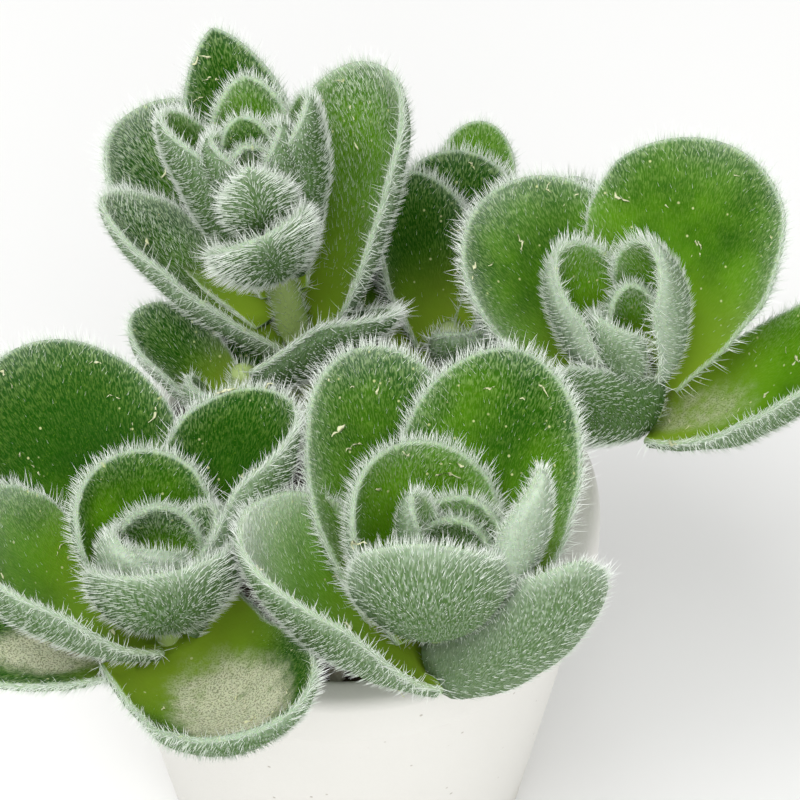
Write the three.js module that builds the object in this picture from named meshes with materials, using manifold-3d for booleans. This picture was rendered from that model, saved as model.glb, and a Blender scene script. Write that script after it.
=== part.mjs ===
// Potted Crassula tomentosa: a plain round pot filled with gritty soil, and eight leafy stems
// that stand in plain holes in the soil and end in rosettes of thick, cupped leaves in crossed
// pairs. Millimetres, +Z up, the front of the plant towards -Y, the origin at the centre of the
// pot's flat base. The four large rosettes have a heart of young woolly leaves as a mesh of its
// own.

import * as THREE from 'three';
import { mergeVertices } from 'three/addons/utils/BufferGeometryUtils.js';
import Module from 'manifold-3d';

const wasm = await Module();
wasm.setup();

// Driving dimensions of the pot and the soil
const POT_HEIGHT = 45;
const RIM_RADIUS = 27;
const BASE_RADIUS = 20;
const WALL = 3;
const LIP_HEIGHT = 6;
const LIP_PROUD = 0.8;
const EDGE_ROUND = 0.6;
const DRAIN_RADIUS = 2;
const DRAIN_CIRCLE = 10;
const DRAIN_COUNT = 4;
const DRAIN_SIDES = 12;
const POT_SIDES = 36;
const GAP = 0.3;
const SOIL_EDGE = 41;
const SOIL_MOUND = 1.6;
const SOIL_SIDES = 24;
const GRIT_COUNT = 14;
const GRIT_SIZE = [0.9, 1.7];
const GRIT_SEED = 7;
const GRIT_INSET = 3;
const GRIT_SUNK = 0.3;
const MOUND_SHAPE = [{ out: 0.75, up: 0.6 }, { out: 0.4, up: 0.9 }];

// Driving dimensions of the stems
const STEM_SIDES = 10;
const STEM_FOOT_Z = 28;
const STEM_STRAIGHT_Z = 43;
const STEM_RISE = 6.5;
const STEM_RISE_SHARE = 0.7;
const STEM_ARRIVE = 3;
const STEM_SWELL = 1.12;
const STEM_STEPS = 5;
const HOLE_SIDES = 12;
const TOP_BUD = 1.2;

// Shape shared by all the leaves
const LEAF_ROOT = 1.2;
const LEAF_EDGE = 0.7;
const LEAF_THICK = 2.4;
const LEAF_SWELL = 1.15;
const ROW_CROWDING = 1.35;
const TIP_THINNING = 0.55;
const MIDRIB_STEPS = 40;
const LARGE_LEAF = 14;
const ROWS = { large: 6, small: 4 };
const COLUMNS = 4;

// Colours, as the surfaces look
const COLOURS = {
  pot: 0xe9e6df,
  soil: 0x4a3a2c,
  leaf: 0x4f8a2a,
  heart: 0xa9c1a4,
};

// Points closer than this are one point
const WELD = 1e-4;

// Factor and span of the repeatable random stream
const DRAW_FACTOR = 16807;
const DRAW_SPAN = 2147483647;

const rad = THREE.MathUtils.degToRad;

// A leaf: height of its root on the rosette's axis, compass direction, length, width, and how
// far its midrib leans from the axis at the root and at the tip. cup is half the angle that the
// blade is curled through across its width, blunt rounds the tip, wide is where along the
// length the blade is widest, base is its width at the root as a share of the greatest, roll
// turns it about its midrib.
function leaf(h, az, length, width, lean, more = {}) {
  return { h, az, length, width, lean, cup: 45, blunt: 2, wide: 0.6, base: 0.55, roll: 0, ...more };
}

// Rosettes: where the lowest pair sits, how the axis leans and to which side, where the stem
// stands in the soil, and where the heart of young leaves starts on the axis.
const ROSETTES = [
  {
    name: 'front', at: [10, -27.9, 52], lean: [6, 60], root: [7, -16], stem: 1.8, split: 3.4,
    leaves: [
      leaf(1, 117, 31, 17.5, [48, 30], { cup: 30, base: 0.45 }),
      leaf(0, 337, 24.5, 10, [56, 0], { cup: 60, blunt: 1.5, roll: -55, base: 1 }),
      leaf(1.5, 71, 30.5, 18.4, [46, 24], { cup: 35, blunt: 1.9 }),
      leaf(2, 184, 25.8, 21, [69, 26], { cup: 66, blunt: 1.9, roll: 1 }),
      leaf(-3, 95, 17, 13, [80, 50], { cup: 40 }),
    ],
    heart: [
      leaf(5, 120, 19, 18, [50, 10], { cup: 60 }),
      leaf(9, 252, 16, 15.5, [58, -20], { cup: 45, roll: 20 }),
      leaf(8, 350, 22, 6, [37, -5], { cup: 75, blunt: 1.4, roll: -15 }),
      leaf(8, 70, 12, 12, [35, -5], { cup: 70, blunt: 1.7 }),
      leaf(9, 75, 10, 10, [25, -20], { cup: 70, blunt: 1.7 }),
      leaf(9, 165, 14, 5, [22, 0], { cup: 75, blunt: 1.5 }),
    ],
  },
  {
    name: 'front_left', at: [-17, -24.5, 52], lean: [5, 100], root: [-11, -14], stem: 1.8, split: 4.4,
    leaves: [
      leaf(1.5, 303, 25.3, 18, [102, 30], { cup: 55, base: 0.9, roll: 10 }),
      leaf(3, 190, 25, 20, [72, 22], { cup: 58, blunt: 1.9, roll: 3 }),
      leaf(2.5, 126, 30, 22, [64, 38], { cup: 25, base: 0.45 }),
      leaf(3, 42, 24.4, 20.5, [53, 28], { cup: 88, roll: -19 }),
      leaf(0.5, 190, 19, 10, [90, 76], { cup: 20 }),
      leaf(-2.5, 100, 17, 13, [80, 50], { cup: 40 }),
    ],
    heart: [
      leaf(6, 115, 14.5, 15.5, [50, 10], { cup: 60 }),
      leaf(6.5, 289, 14, 18, [60, 0], { cup: 70, blunt: 1.9 }),
      leaf(7.5, 95, 8.5, 10, [44, -18], { cup: 70, blunt: 1.8 }),
      leaf(7.5, 15, 10.5, 7.5, [53, -2], { cup: 72, blunt: 1.5 }),
      leaf(8, 222, 9.5, 9.5, [48, -12], { cup: 75, blunt: 1.7 }),
      leaf(8.5, 262, 7.5, 7, [33, -12], { cup: 75, blunt: 1.7 }),
    ],
  },
  {
    name: 'right', at: [31, 2.2, 57], lean: [8, 160], root: [14, 5], stem: 1.8, split: 4.6,
    leaves: [
      leaf(-1, 345, 26, 16, [82, 28], { cup: 50, blunt: 1.8 }),
      leaf(-0.8, 205, 21, 16.5, [69, 40], { cup: 50, blunt: 1.8, roll: 50, base: 0.9 }),
      leaf(3, 58, 25, 22, [52, 38], { cup: 30, wide: 0.62, base: 0.3 }),
      leaf(3, 136, 24, 20, [58, 35], { cup: 32, blunt: 2.1 }),
      leaf(-2.5, 105, 14, 9, [85, 55], { cup: 40 }),
    ],
    heart: [
      leaf(6, 160, 16, 12, [52, -8], { cup: 75, blunt: 1.9 }),
      leaf(6, 25, 15.5, 11, [30, -20], { cup: 75, blunt: 1.9 }),
      leaf(6.5, 216, 8.8, 6.5, [33, -4], { cup: 75, blunt: 1.5, roll: 10 }),
      leaf(6.5, 90, 9.8, 6, [7, -12], { cup: 85, blunt: 1.5 }),
    ],
  },
  {
    name: 'back_left', at: [-5, 10.7, 60], lean: [10, 165], root: [-4, 9], stem: 1.7, split: 6,
    leaves: [
      leaf(0, 34, 29, 17, [45, 20], { cup: 50, blunt: 2.1, wide: 0.71, base: 0.65 }),
      leaf(-0.5, 173, 24.5, 10.5, [51, 23], { cup: 50, blunt: 1.5, roll: 3, base: 0.9 }),
      leaf(2, 133, 25.5, 16, [62, 36], { cup: 45, blunt: 2.1, wide: 0.72, base: 0.45 }),
      leaf(4, 102, 28, 12.5, [55, 22], { cup: 45, blunt: 1.25, wide: 0.5, base: 0.35 }),
    ],
    heart: [
      leaf(8, 34, 20, 8.5, [33, 3], { cup: 85, blunt: 1.6, roll: -36 }),
      leaf(8, 154, 20.5, 9.5, [37, 7], { cup: 88, blunt: 1.7, roll: 34 }),
      leaf(10, 92, 18, 9, [40, 15], { cup: 60, blunt: 1.5 }),
      leaf(11.5, 278, 12.5, 11.5, [66, 10], { cup: 65, blunt: 1.8, roll: 15 }),
      leaf(13, 155, 12.5, 6, [26, -5], { cup: 88, blunt: 1.8, roll: 36 }),
      leaf(13, 35, 12.5, 6, [28, -5], { cup: 85, blunt: 1.8, roll: -36 }),
      leaf(14, 100, 11.5, 6.5, [25, 5], { cup: 70, blunt: 1.7 }),
      leaf(16, 278, 10, 7, [38, -10], { cup: 55, blunt: 1.05, wide: 0.35 }),
      leaf(16, 110, 8, 6.5, [15, -20], { cup: 60, blunt: 1.5 }),
    ],
  },
  {
    name: 'middle', at: [11, 13, 52], lean: [10, 60], root: [7.5, 10.5], stem: 2, split: null,
    leaves: [
      leaf(0, 83, 25, 8.5, [50, 30], { cup: 30, wide: 0.7 }),
      leaf(1, 145, 20, 16, [55, 30], { cup: 35 }),
      leaf(3, 300, 9, 10, [70, 10], { cup: 60 }),
      leaf(2, 92, 20, 14, [50, 22], { cup: 45, wide: 0.65 }),
      leaf(2.5, 125, 18, 12, [48, 18], { cup: 50, blunt: 1.8 }),
      leaf(4, 10, 9, 7, [45, 0], { cup: 70, blunt: 1.8 }),
    ],
    heart: [],
  },
  {
    name: 'shaded', at: [-10, 3.5, 55], lean: [5, 90], root: [-9, -1], stem: 2, split: null,
    leaves: [
      leaf(5, 6, 16, 11, [75, 50], { cup: 50, blunt: 1.4, roll: -40 }),
      leaf(0, 150, 14, 9, [60, 50], { cup: 40, blunt: 1.9 }),
      leaf(-1, 85, 10, 8, [70, 45], { cup: 50, blunt: 1.9 }),
      leaf(2, 245, 9, 8, [65, 20], { cup: 60, blunt: 1.9 }),
    ],
    heart: [],
  },
  {
    name: 'rear_left', at: [-8, 24, 50.5], lean: [20, 110], root: [-7, 16], stem: 2, split: null,
    leaves: [
      leaf(0, 110, 17, 13, [75, 40], { cup: 40 }),
      leaf(0, 175, 13, 12, [75, 40], { cup: 40 }),
      leaf(0, 20, 15, 12, [75, 40], { cup: 40 }),
      leaf(3, 150, 12, 10, [50, 10], { cup: 60, blunt: 1.9 }),
      leaf(3, 60, 12, 10, [50, 10], { cup: 60, blunt: 1.9 }),
      leaf(5, 100, 9, 7, [30, 0], { cup: 70, blunt: 1.8 }),
    ],
    heart: [],
  },
  {
    name: 'rear_right', at: [26, 20, 51.5], lean: [25, 70], root: [14, 12], stem: 2, split: null,
    leaves: [
      leaf(0, 80, 17, 13, [75, 40], { cup: 40 }),
      leaf(0, 155, 12, 10, [75, 45], { cup: 40 }),
      leaf(0, 350, 15, 12, [75, 40], { cup: 40 }),
      leaf(3, 120, 12, 10, [50, 10], { cup: 60, blunt: 1.9 }),
      leaf(3, 30, 12, 10, [50, 10], { cup: 60, blunt: 1.9 }),
      leaf(5, 80, 9, 7, [30, 0], { cup: 70, blunt: 1.8 }),
    ],
    heart: [],
  },
];

// A closed triangle mesh becomes a solid that can be joined and cut
function toSolid(geometry) {
  const bare = geometry.clone();
  bare.deleteAttribute('normal');
  bare.deleteAttribute('uv');
  const merged = mergeVertices(bare, WELD);
  return new wasm.Manifold(new wasm.Mesh({
    numProp: 3,
    vertProperties: new Float32Array(merged.attributes.position.array),
    triVerts: new Uint32Array(merged.index.array),
  }));
}

function toGeometry(solid) {
  const mesh = solid.getMesh();
  const geometry = new THREE.BufferGeometry();
  geometry.setAttribute('position', new THREE.BufferAttribute(new Float32Array(mesh.vertProperties), 3));
  geometry.setIndex(new THREE.BufferAttribute(new Uint32Array(mesh.triVerts), 1));
  geometry.computeVertexNormals();
  return geometry;
}

function fromTriangles(points, triangles) {
  const geometry = new THREE.BufferGeometry();
  geometry.setAttribute('position', new THREE.Float32BufferAttribute(points.flat(), 3));
  geometry.setIndex(triangles.flat());
  return geometry;
}

const joined = (solids) => solids.reduce((all, next) => all.add(next));

// The largest body of a solid, without the loose scraps that a cut can leave
function mainBody(solid) {
  const bodies = solid.decompose();
  return bodies.reduce((best, next) => (next.volume() > best.volume() ? next : best));
}

// Upright directions of a rosette: its axis, the side towards +X and the side away from the front
function frameOf([lean, az]) {
  const axis = new THREE.Vector3(
    Math.sin(rad(lean)) * Math.cos(rad(az)),
    Math.sin(rad(lean)) * Math.sin(rad(az)),
    Math.cos(rad(lean)),
  );
  const side = new THREE.Vector3(1, 0, 0).addScaledVector(axis, -axis.x).normalize();
  const back = axis.clone().cross(side);
  return { axis, side, back };
}

function outward({ side, back }, az) {
  return side.clone().multiplyScalar(Math.cos(rad(az))).addScaledVector(back, Math.sin(rad(az)));
}

// Half width of a leaf at s along its length, as a share of its greatest half width
function leafOutline(s, { base, wide, blunt }) {
  if (s <= wide) return base + (1 - base) * Math.sin((s / wide) * Math.PI / 2) ** LEAF_SWELL;
  const t = (s - wide) / (1 - wide);
  return Math.max(0, 1 - t * t) ** (1 / blunt);
}

// The midrib from root to tip: points, and the directions along it and off its upper face
function leafMidrib(frame, rosette, spec) {
  const out = outward(frame, spec.az);
  const point = new THREE.Vector3(...rosette.at)
    .addScaledVector(frame.axis, spec.h)
    .addScaledVector(out, LEAF_ROOT);
  const stations = [];
  for (let k = 0; k <= MIDRIB_STEPS; k += 1) {
    const lean = rad(spec.lean[0] + (spec.lean[1] - spec.lean[0]) * k / MIDRIB_STEPS);
    const along = frame.axis.clone().multiplyScalar(Math.cos(lean)).addScaledVector(out, Math.sin(lean));
    const up = frame.axis.clone().multiplyScalar(Math.sin(lean)).addScaledVector(out, -Math.cos(lean));
    const across = along.clone().cross(up);
    const roll = rad(spec.roll);
    stations.push({
      point: point.clone(),
      along,
      up: up.clone().multiplyScalar(Math.cos(roll)).addScaledVector(across, Math.sin(roll)),
      across: across.clone().multiplyScalar(Math.cos(roll)).addScaledVector(up, -Math.sin(roll)),
    });
    point.addScaledVector(along, spec.length / MIDRIB_STEPS);
  }
  return stations;
}

// One leaf: a cupped upper face, a fuller lower face, a blunt edge and a rounded tip. grow makes
// the same leaf stouter all over, to cut room for it out of a neighbour.
function leafSolid(frame, rosette, spec, grow = 0) {
  const rows = spec.width * spec.length >= LARGE_LEAF * LARGE_LEAF ? ROWS.large : ROWS.small;
  const midrib = leafMidrib(frame, rosette, spec);
  const curl = spec.width / 2 / rad(spec.cup);
  const upper = [];
  const lower = [];
  for (let i = 0; i <= rows; i += 1) {
    const s = 1 - (1 - i / rows) ** ROW_CROWDING;
    const { point, along, up, across } = midrib[Math.round(s * MIDRIB_STEPS)];
    const share = leafOutline(s, spec);
    const half = spec.width / 2 * share + grow;
    const reach = along.clone().multiplyScalar(grow * (2 * s - 1));
    const columns = i === rows ? 0 : COLUMNS;
    for (let j = 0; j <= columns; j += 1) {
      const v = columns ? Math.sin((2 * j / columns - 1) * Math.PI / 2) : 0;
      const turn = v * half / curl;
      const normal = up.clone().multiplyScalar(Math.cos(turn)).addScaledVector(across, -Math.sin(turn));
      const top = point.clone().add(reach)
        .addScaledVector(across, curl * Math.sin(turn))
        .addScaledVector(up, curl * (1 - Math.cos(turn)))
        .addScaledVector(normal, grow);
      const fullness = (1 - TIP_THINNING * s ** 2.5) * Math.sqrt(Math.max(0, 1 - v * v)) * Math.sqrt(share);
      const depth = LEAF_EDGE + (LEAF_THICK - LEAF_EDGE) * fullness + 2 * grow;
      upper.push(top.toArray());
      lower.push(top.addScaledVector(normal, -depth).toArray());
    }
  }
  return toSolid(fromTriangles([...upper, ...lower], leafTriangles(rows, upper.length)));
}

// Triangles of a leaf: two faces of rows by columns that end in a tip point, with side and root
// walls between them
function leafTriangles(rows, count) {
  const across = COLUMNS + 1;
  const tip = rows * across;
  const at = (i, j) => (i === rows ? tip : i * across + j);
  const triangles = [];
  const quad = (a, b, c, d) => {
    if (a !== b && b !== c && a !== c) triangles.push([a, b, c]);
    if (a !== c && c !== d && a !== d) triangles.push([a, c, d]);
  };
  for (let i = 0; i < rows; i += 1) {
    for (let j = 0; j < COLUMNS; j += 1) {
      quad(at(i, j), at(i, j + 1), at(i + 1, j + 1), at(i + 1, j));
      quad(count + at(i, j), count + at(i + 1, j), count + at(i + 1, j + 1), count + at(i, j + 1));
    }
    quad(at(i, 0), at(i + 1, 0), count + at(i + 1, 0), count + at(i, 0));
    quad(at(i, COLUMNS), count + at(i, COLUMNS), count + at(i + 1, COLUMNS), at(i + 1, COLUMNS));
  }
  for (let j = 0; j < COLUMNS; j += 1) {
    quad(at(0, j), count + at(0, j), count + at(0, j + 1), at(0, j + 1));
  }
  return triangles;
}

// A round stem through the given points, with a radius at each of them and flat ends
function stemSolid(points, radii) {
  const ring = [];
  const first = points[1].clone().sub(points[0]).normalize();
  const side = new THREE.Vector3(1, 0, 0).addScaledVector(first, -first.x).normalize();
  points.forEach((point, i) => {
    const before = points[Math.max(0, i - 1)];
    const after = points[Math.min(points.length - 1, i + 1)];
    const along = after.clone().sub(before).normalize();
    side.addScaledVector(along, -side.dot(along)).normalize();
    const other = along.clone().cross(side);
    for (let k = 0; k < STEM_SIDES; k += 1) {
      const turn = 2 * Math.PI * k / STEM_SIDES;
      ring.push(point.clone()
        .addScaledVector(side, radii[i] * Math.cos(turn))
        .addScaledVector(other, radii[i] * Math.sin(turn)).toArray());
    }
  });
  const triangles = [];
  for (let i = 0; i < points.length - 1; i += 1) {
    for (let k = 0; k < STEM_SIDES; k += 1) {
      const a = i * STEM_SIDES + k;
      const b = i * STEM_SIDES + (k + 1) % STEM_SIDES;
      triangles.push([a, b, b + STEM_SIDES], [a, b + STEM_SIDES, a + STEM_SIDES]);
    }
  }
  const last = (points.length - 1) * STEM_SIDES;
  for (let k = 1; k < STEM_SIDES - 1; k += 1) {
    triangles.push([0, k + 1, k], [last, last + k, last + k + 1]);
  }
  return toSolid(fromTriangles(ring, triangles));
}

// The stem from its buried foot to the height on the axis where it ends
function stemPath(rosette, frame, top) {
  const foot = new THREE.Vector3(...rosette.root, STEM_FOOT_Z);
  const crown = new THREE.Vector3(...rosette.root, STEM_STRAIGHT_Z);
  const base = new THREE.Vector3(...rosette.at);
  const bend = new THREE.CubicBezierCurve3(
    crown,
    crown.clone().setZ(STEM_STRAIGHT_Z + Math.min(STEM_RISE, (base.z - crown.z) * STEM_RISE_SHARE)),
    base.clone().addScaledVector(frame.axis, -STEM_ARRIVE),
    base,
  );
  const points = [foot, ...bend.getPoints(STEM_STEPS), base.clone().addScaledVector(frame.axis, top)];
  const radii = points.map((_, i) => rosette.stem * (i < 2 ? STEM_SWELL : 1));
  return { points, radii };
}

// The growing point inside the heart: the end of the axis, drawn in to a blunt bud
function coreSolid(rosette, frame, from, to) {
  const onAxis = (h) => new THREE.Vector3(...rosette.at).addScaledVector(frame.axis, h);
  const points = [onAxis(from), onAxis(to), onAxis(to + TOP_BUD)];
  return stemSolid(points, [rosette.stem, rosette.stem, rosette.stem / 2]);
}

// The solids of the named leaves, each made stouter by grow
function leavesOf(frame, rosette, specs, grow = 0) {
  return specs.map((spec) => leafSolid(frame, rosette, spec, grow));
}

// A rosette: its stem with the grown leaves, and the heart where it has one
function buildRosette(rosette) {
  const frame = frameOf(rosette.lean);
  const highest = (specs) => Math.max(...specs.map((spec) => spec.h));
  const hasHeart = rosette.heart.length > 0;
  const top = hasHeart ? rosette.split : highest(rosette.leaves);
  const { points, radii } = stemPath(rosette, frame, top);
  let grown = joined([stemSolid(points, radii), ...leavesOf(frame, rosette, rosette.leaves)]);
  const stouter = radii.map((r) => r + GAP);
  const room = [stemSolid(points, stouter), ...leavesOf(frame, rosette, rosette.leaves, GAP)];
  let heart = null;
  if (hasHeart) {
    const tip = highest(rosette.heart);
    const core = coreSolid(rosette, frame, rosette.split + GAP, tip);
    const coreRoom = coreSolid({ ...rosette, stem: rosette.stem + GAP }, frame, rosette.split, tip);
    heart = mainBody(joined([core, ...leavesOf(frame, rosette, rosette.heart)]));
    const clear = joined([coreRoom, ...leavesOf(frame, rosette, rosette.heart, GAP)]);
    grown = mainBody(grown.subtract(clear));
    room.push(clear);
  }
  return { grown, heart, room: joined(room) };
}

function lathe(profile, sides) {
  const points = profile.map(([r, z]) => new THREE.Vector2(r, z));
  const geometry = new THREE.LatheGeometry(points, sides);
  geometry.rotateX(Math.PI / 2);
  return geometry;
}

// Inner radius of the pot's wall at a height
function innerRadius(z) {
  const outer = BASE_RADIUS + (RIM_RADIUS - LIP_PROUD - BASE_RADIUS) * z / (POT_HEIGHT - LIP_HEIGHT);
  return outer - WALL;
}

// The pot: a tapered wall, a lip round the rim, a flat base with drain holes
function buildPot() {
  const lipZ = POT_HEIGHT - LIP_HEIGHT;
  const inside = RIM_RADIUS - LIP_PROUD - WALL;
  const profile = [
    [0, 0],
    [BASE_RADIUS - EDGE_ROUND, 0],
    [BASE_RADIUS, EDGE_ROUND],
    [RIM_RADIUS - LIP_PROUD, lipZ - LIP_PROUD],
    [RIM_RADIUS, lipZ],
    [RIM_RADIUS, POT_HEIGHT - EDGE_ROUND],
    [RIM_RADIUS - EDGE_ROUND, POT_HEIGHT],
    [inside + EDGE_ROUND, POT_HEIGHT],
    [inside, POT_HEIGHT - EDGE_ROUND],
    [inside, lipZ],
    [innerRadius(WALL), WALL],
    [0, WALL],
  ];
  let pot = toSolid(lathe(profile, POT_SIDES));
  for (let k = 0; k < DRAIN_COUNT; k += 1) {
    const turn = 2 * Math.PI * (k + 0.5) / DRAIN_COUNT;
    const drain = new THREE.CylinderGeometry(DRAIN_RADIUS, DRAIN_RADIUS, 3 * WALL, DRAIN_SIDES);
    drain.rotateX(Math.PI / 2);
    drain.translate(DRAIN_CIRCLE * Math.cos(turn), DRAIN_CIRCLE * Math.sin(turn), 0);
    pot = pot.subtract(toSolid(drain));
  }
  return pot;
}

// A small repeatable stream of numbers between 0 and 1
function drawFrom(seed) {
  let state = seed;
  return () => {
    state = (state * DRAW_FACTOR) % DRAW_SPAN;
    return state / DRAW_SPAN;
  };
}

// The soil: it fills the pot, is mounded a little, has grit on top and a hole for each stem
function buildSoil() {
  const lipZ = POT_HEIGHT - LIP_HEIGHT;
  const edge = RIM_RADIUS - LIP_PROUD - WALL - GAP;
  const profile = [
    [0, WALL + GAP],
    [innerRadius(WALL) - 2 * GAP, WALL + GAP],
    [edge, lipZ + GAP],
    [edge, SOIL_EDGE],
    ...MOUND_SHAPE.map(({ out, up }) => [edge * out, SOIL_EDGE + SOIL_MOUND * up]),
    [0, SOIL_EDGE + SOIL_MOUND],
  ];
  let soil = toSolid(lathe(profile, SOIL_SIDES));
  const draw = drawFrom(GRIT_SEED);
  for (let k = 0; k < GRIT_COUNT; k += 1) {
    const reach = (edge - GRIT_INSET) * Math.sqrt(draw());
    const turn = 2 * Math.PI * draw();
    const size = GRIT_SIZE[0] + (GRIT_SIZE[1] - GRIT_SIZE[0]) * draw();
    const grain = new THREE.IcosahedronGeometry(size, 0).rotateX(draw() * Math.PI).rotateY(draw() * Math.PI);
    const level = SOIL_EDGE + SOIL_MOUND * (1 - (reach / edge) ** 2);
    grain.translate(reach * Math.cos(turn), reach * Math.sin(turn), level - size * GRIT_SUNK);
    soil = soil.add(toSolid(grain));
  }
  for (const { root, stem } of ROSETTES) {
    const radius = (stem * STEM_SWELL + GAP) / Math.cos(Math.PI / HOLE_SIDES);
    const bottom = STEM_FOOT_Z - GAP;
    const hole = new THREE.CylinderGeometry(radius, radius, POT_HEIGHT - bottom, HOLE_SIDES);
    hole.rotateX(Math.PI / 2);
    hole.translate(...root, (POT_HEIGHT + bottom) / 2);
    soil = soil.subtract(toSolid(hole));
  }
  return mainBody(soil);
}

const materials = {
  pot: new THREE.MeshStandardMaterial({ color: COLOURS.pot, roughness: 0.6, metalness: 0 }),
  soil: new THREE.MeshStandardMaterial({ color: COLOURS.soil, roughness: 0.95, metalness: 0 }),
  leaf: new THREE.MeshStandardMaterial({ color: COLOURS.leaf, roughness: 0.5, metalness: 0 }),
  heart: new THREE.MeshStandardMaterial({ color: COLOURS.heart, roughness: 0.7, metalness: 0 }),
};

function namedMesh(name, solid, material) {
  const mesh = new THREE.Mesh(toGeometry(solid), material);
  mesh.name = name;
  return mesh;
}

const plant = new THREE.Group();
plant.add(namedMesh('pot', buildPot(), materials.pot));
plant.add(namedMesh('soil', buildSoil(), materials.soil));

// Rosettes are built front first, and each one leaves room for those before it
let taken = null;
for (const rosette of ROSETTES) {
  const { grown, heart, room } = buildRosette(rosette);
  const clear = (solid) => (taken ? mainBody(solid.subtract(taken)) : solid);
  plant.add(namedMesh(`rosette_${rosette.name}`, clear(grown), materials.leaf));
  if (heart) plant.add(namedMesh(`heart_${rosette.name}`, clear(heart), materials.heart));
  taken = taken ? taken.add(room) : room;
}

export default plant;
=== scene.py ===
"""Looks of a potted Crassula tomentosa: woolly rosettes of cupped leaves in a plain pale pot.

The leaves are meshed from the same dimensions as the solids they stand for, a step finer, and
Geometry Nodes grow the hairs, the scuffs and the grit. Lengths in the tables are millimetres.
"""

import math
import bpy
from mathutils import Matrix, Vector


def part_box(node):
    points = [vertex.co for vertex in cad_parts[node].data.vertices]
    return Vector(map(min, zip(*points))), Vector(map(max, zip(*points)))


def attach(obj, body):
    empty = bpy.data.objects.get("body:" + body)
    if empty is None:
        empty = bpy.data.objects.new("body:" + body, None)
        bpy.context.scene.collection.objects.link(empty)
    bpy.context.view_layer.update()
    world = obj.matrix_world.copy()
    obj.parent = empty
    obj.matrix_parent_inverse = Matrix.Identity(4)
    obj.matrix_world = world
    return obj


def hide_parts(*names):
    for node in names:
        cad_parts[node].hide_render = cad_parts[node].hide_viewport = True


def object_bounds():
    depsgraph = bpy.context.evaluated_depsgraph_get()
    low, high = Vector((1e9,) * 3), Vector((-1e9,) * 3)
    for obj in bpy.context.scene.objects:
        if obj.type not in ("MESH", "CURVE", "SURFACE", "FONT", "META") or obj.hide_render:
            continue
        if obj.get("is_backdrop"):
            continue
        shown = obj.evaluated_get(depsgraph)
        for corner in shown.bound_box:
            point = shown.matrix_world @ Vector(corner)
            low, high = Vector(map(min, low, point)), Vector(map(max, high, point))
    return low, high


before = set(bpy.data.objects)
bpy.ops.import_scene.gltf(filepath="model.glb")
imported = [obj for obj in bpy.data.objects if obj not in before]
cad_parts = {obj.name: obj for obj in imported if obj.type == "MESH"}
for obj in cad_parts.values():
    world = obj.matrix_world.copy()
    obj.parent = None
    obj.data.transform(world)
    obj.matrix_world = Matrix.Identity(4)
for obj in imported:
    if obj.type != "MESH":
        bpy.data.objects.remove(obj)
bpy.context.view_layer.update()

from types import SimpleNamespace

import bpy
import numpy as np
from bpy.props import FloatProperty, FloatVectorProperty, IntProperty, PointerProperty
from bpy.types import Operator, Panel, PropertyGroup
from mathutils import Vector

bl_info = {
    "name": "Potted Crassula tomentosa",
    "version": (1, 0, 0),
    "blender": (4, 5, 0),
    "location": "3D View > Sidebar > Plant",
    "description": "Builds the leaves, hairs, stems, soil and pot of a potted woolly succulent",
    "category": "Object",
}

MM = 0.001
POT_RADIUS, _, POT_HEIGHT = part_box("pot")[1]
SOIL_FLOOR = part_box("soil")[0].z

# Leaves, with the first four values as in the solids, and lengths in millimetres
LEAF_ROOT = 1.2  # from the axis of a rosette to the root of a leaf
LEAF_SWELL = 1.15  # how fast the sides swell from the root
TIP_THINNING = 0.55  # share of the thickness that is gone at the tip
LARGE_LEAF = 14  # side of the square that a large leaf would just cover
SMALL_LEAF = 10  # width under which the hairs are shorter
TIP_CROWDING = 2.0  # how much the rows of points crowd towards the tip
MIDRIB_STEPS = 240  # for the sum of short steps that draws a midrib
RIM_BENDS = (45, 90, 135)  # degrees round the margin of the points on it
WAVER = ((0.012, 17), (0.008, 31))  # uneven margin: share of the width and pace along the leaf
RIPPLE_PACE = 0.9  # radians a millimetre along the leaf
RIPPLE_BEND = 2.2  # radians from the midrib to the margin
RIPPLE_SLANT = 3  # the same for the slow ripple, which runs aslant
SLOW_RIPPLE = 0.6  # its height as a share of the quick one
UV_TILE = 50  # millimetres to one tile of the flat leaf
RAY_REACH = 0.65  # share of the length at which the rays are as wide as they are drawn

# Coat of a leaf, with distances in millimetres
BARE_COAT = 0.3  # up to this coat the middle of the upper face is bare
YOUNG_COAT = 1.2  # times the coat, on young leaves
BARE_ROOT = 0.12  # share of the length that is bare at the root
YOUNG_BARE_ROOT = 0.3
ROOT_FADE = 0.4  # share of the length over which the hairs then come in
RIM_NEAR = 1.2  # how far the dense hairs of the margin reach inwards
RIM_BROAD = 3  # how far the fine down reaches inwards
FROST_REACH = 5.5  # how far the frost reaches from its margin
RIM_CROWDING = 4  # short hairs on the margin to one on the lower face
RIM_SILVER = 0.75

# Hairs and scuffs
HAIR_SIDES = 3
LEAF_STAND = 0.4  # how far hairs stand up, to 1 that they lie along the leaf
HEART_STAND = 0.45
STEM_STAND = 0.8
STRAY_CURL = 0.7  # how far chance turns a hair about itself
UPPER_SLIM = 0.35  # share of the width that hairs lose on upper faces
BOLD_WIDE = 0.25  # and gain on bold lower faces
HAIR_SPREAD = (0.55, 1.3)  # shortest and longest, to the length asked for
ALL_WAYS = ((-1, -1, -1), (1, 1, 1))
SCUFF_DENSITY = 0.045  # to a square millimetre
SCUFF_LENGTH = 3.6
SCUFF_WANDER = 1.5  # how far the noise pulls a scuff out of its arc

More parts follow.
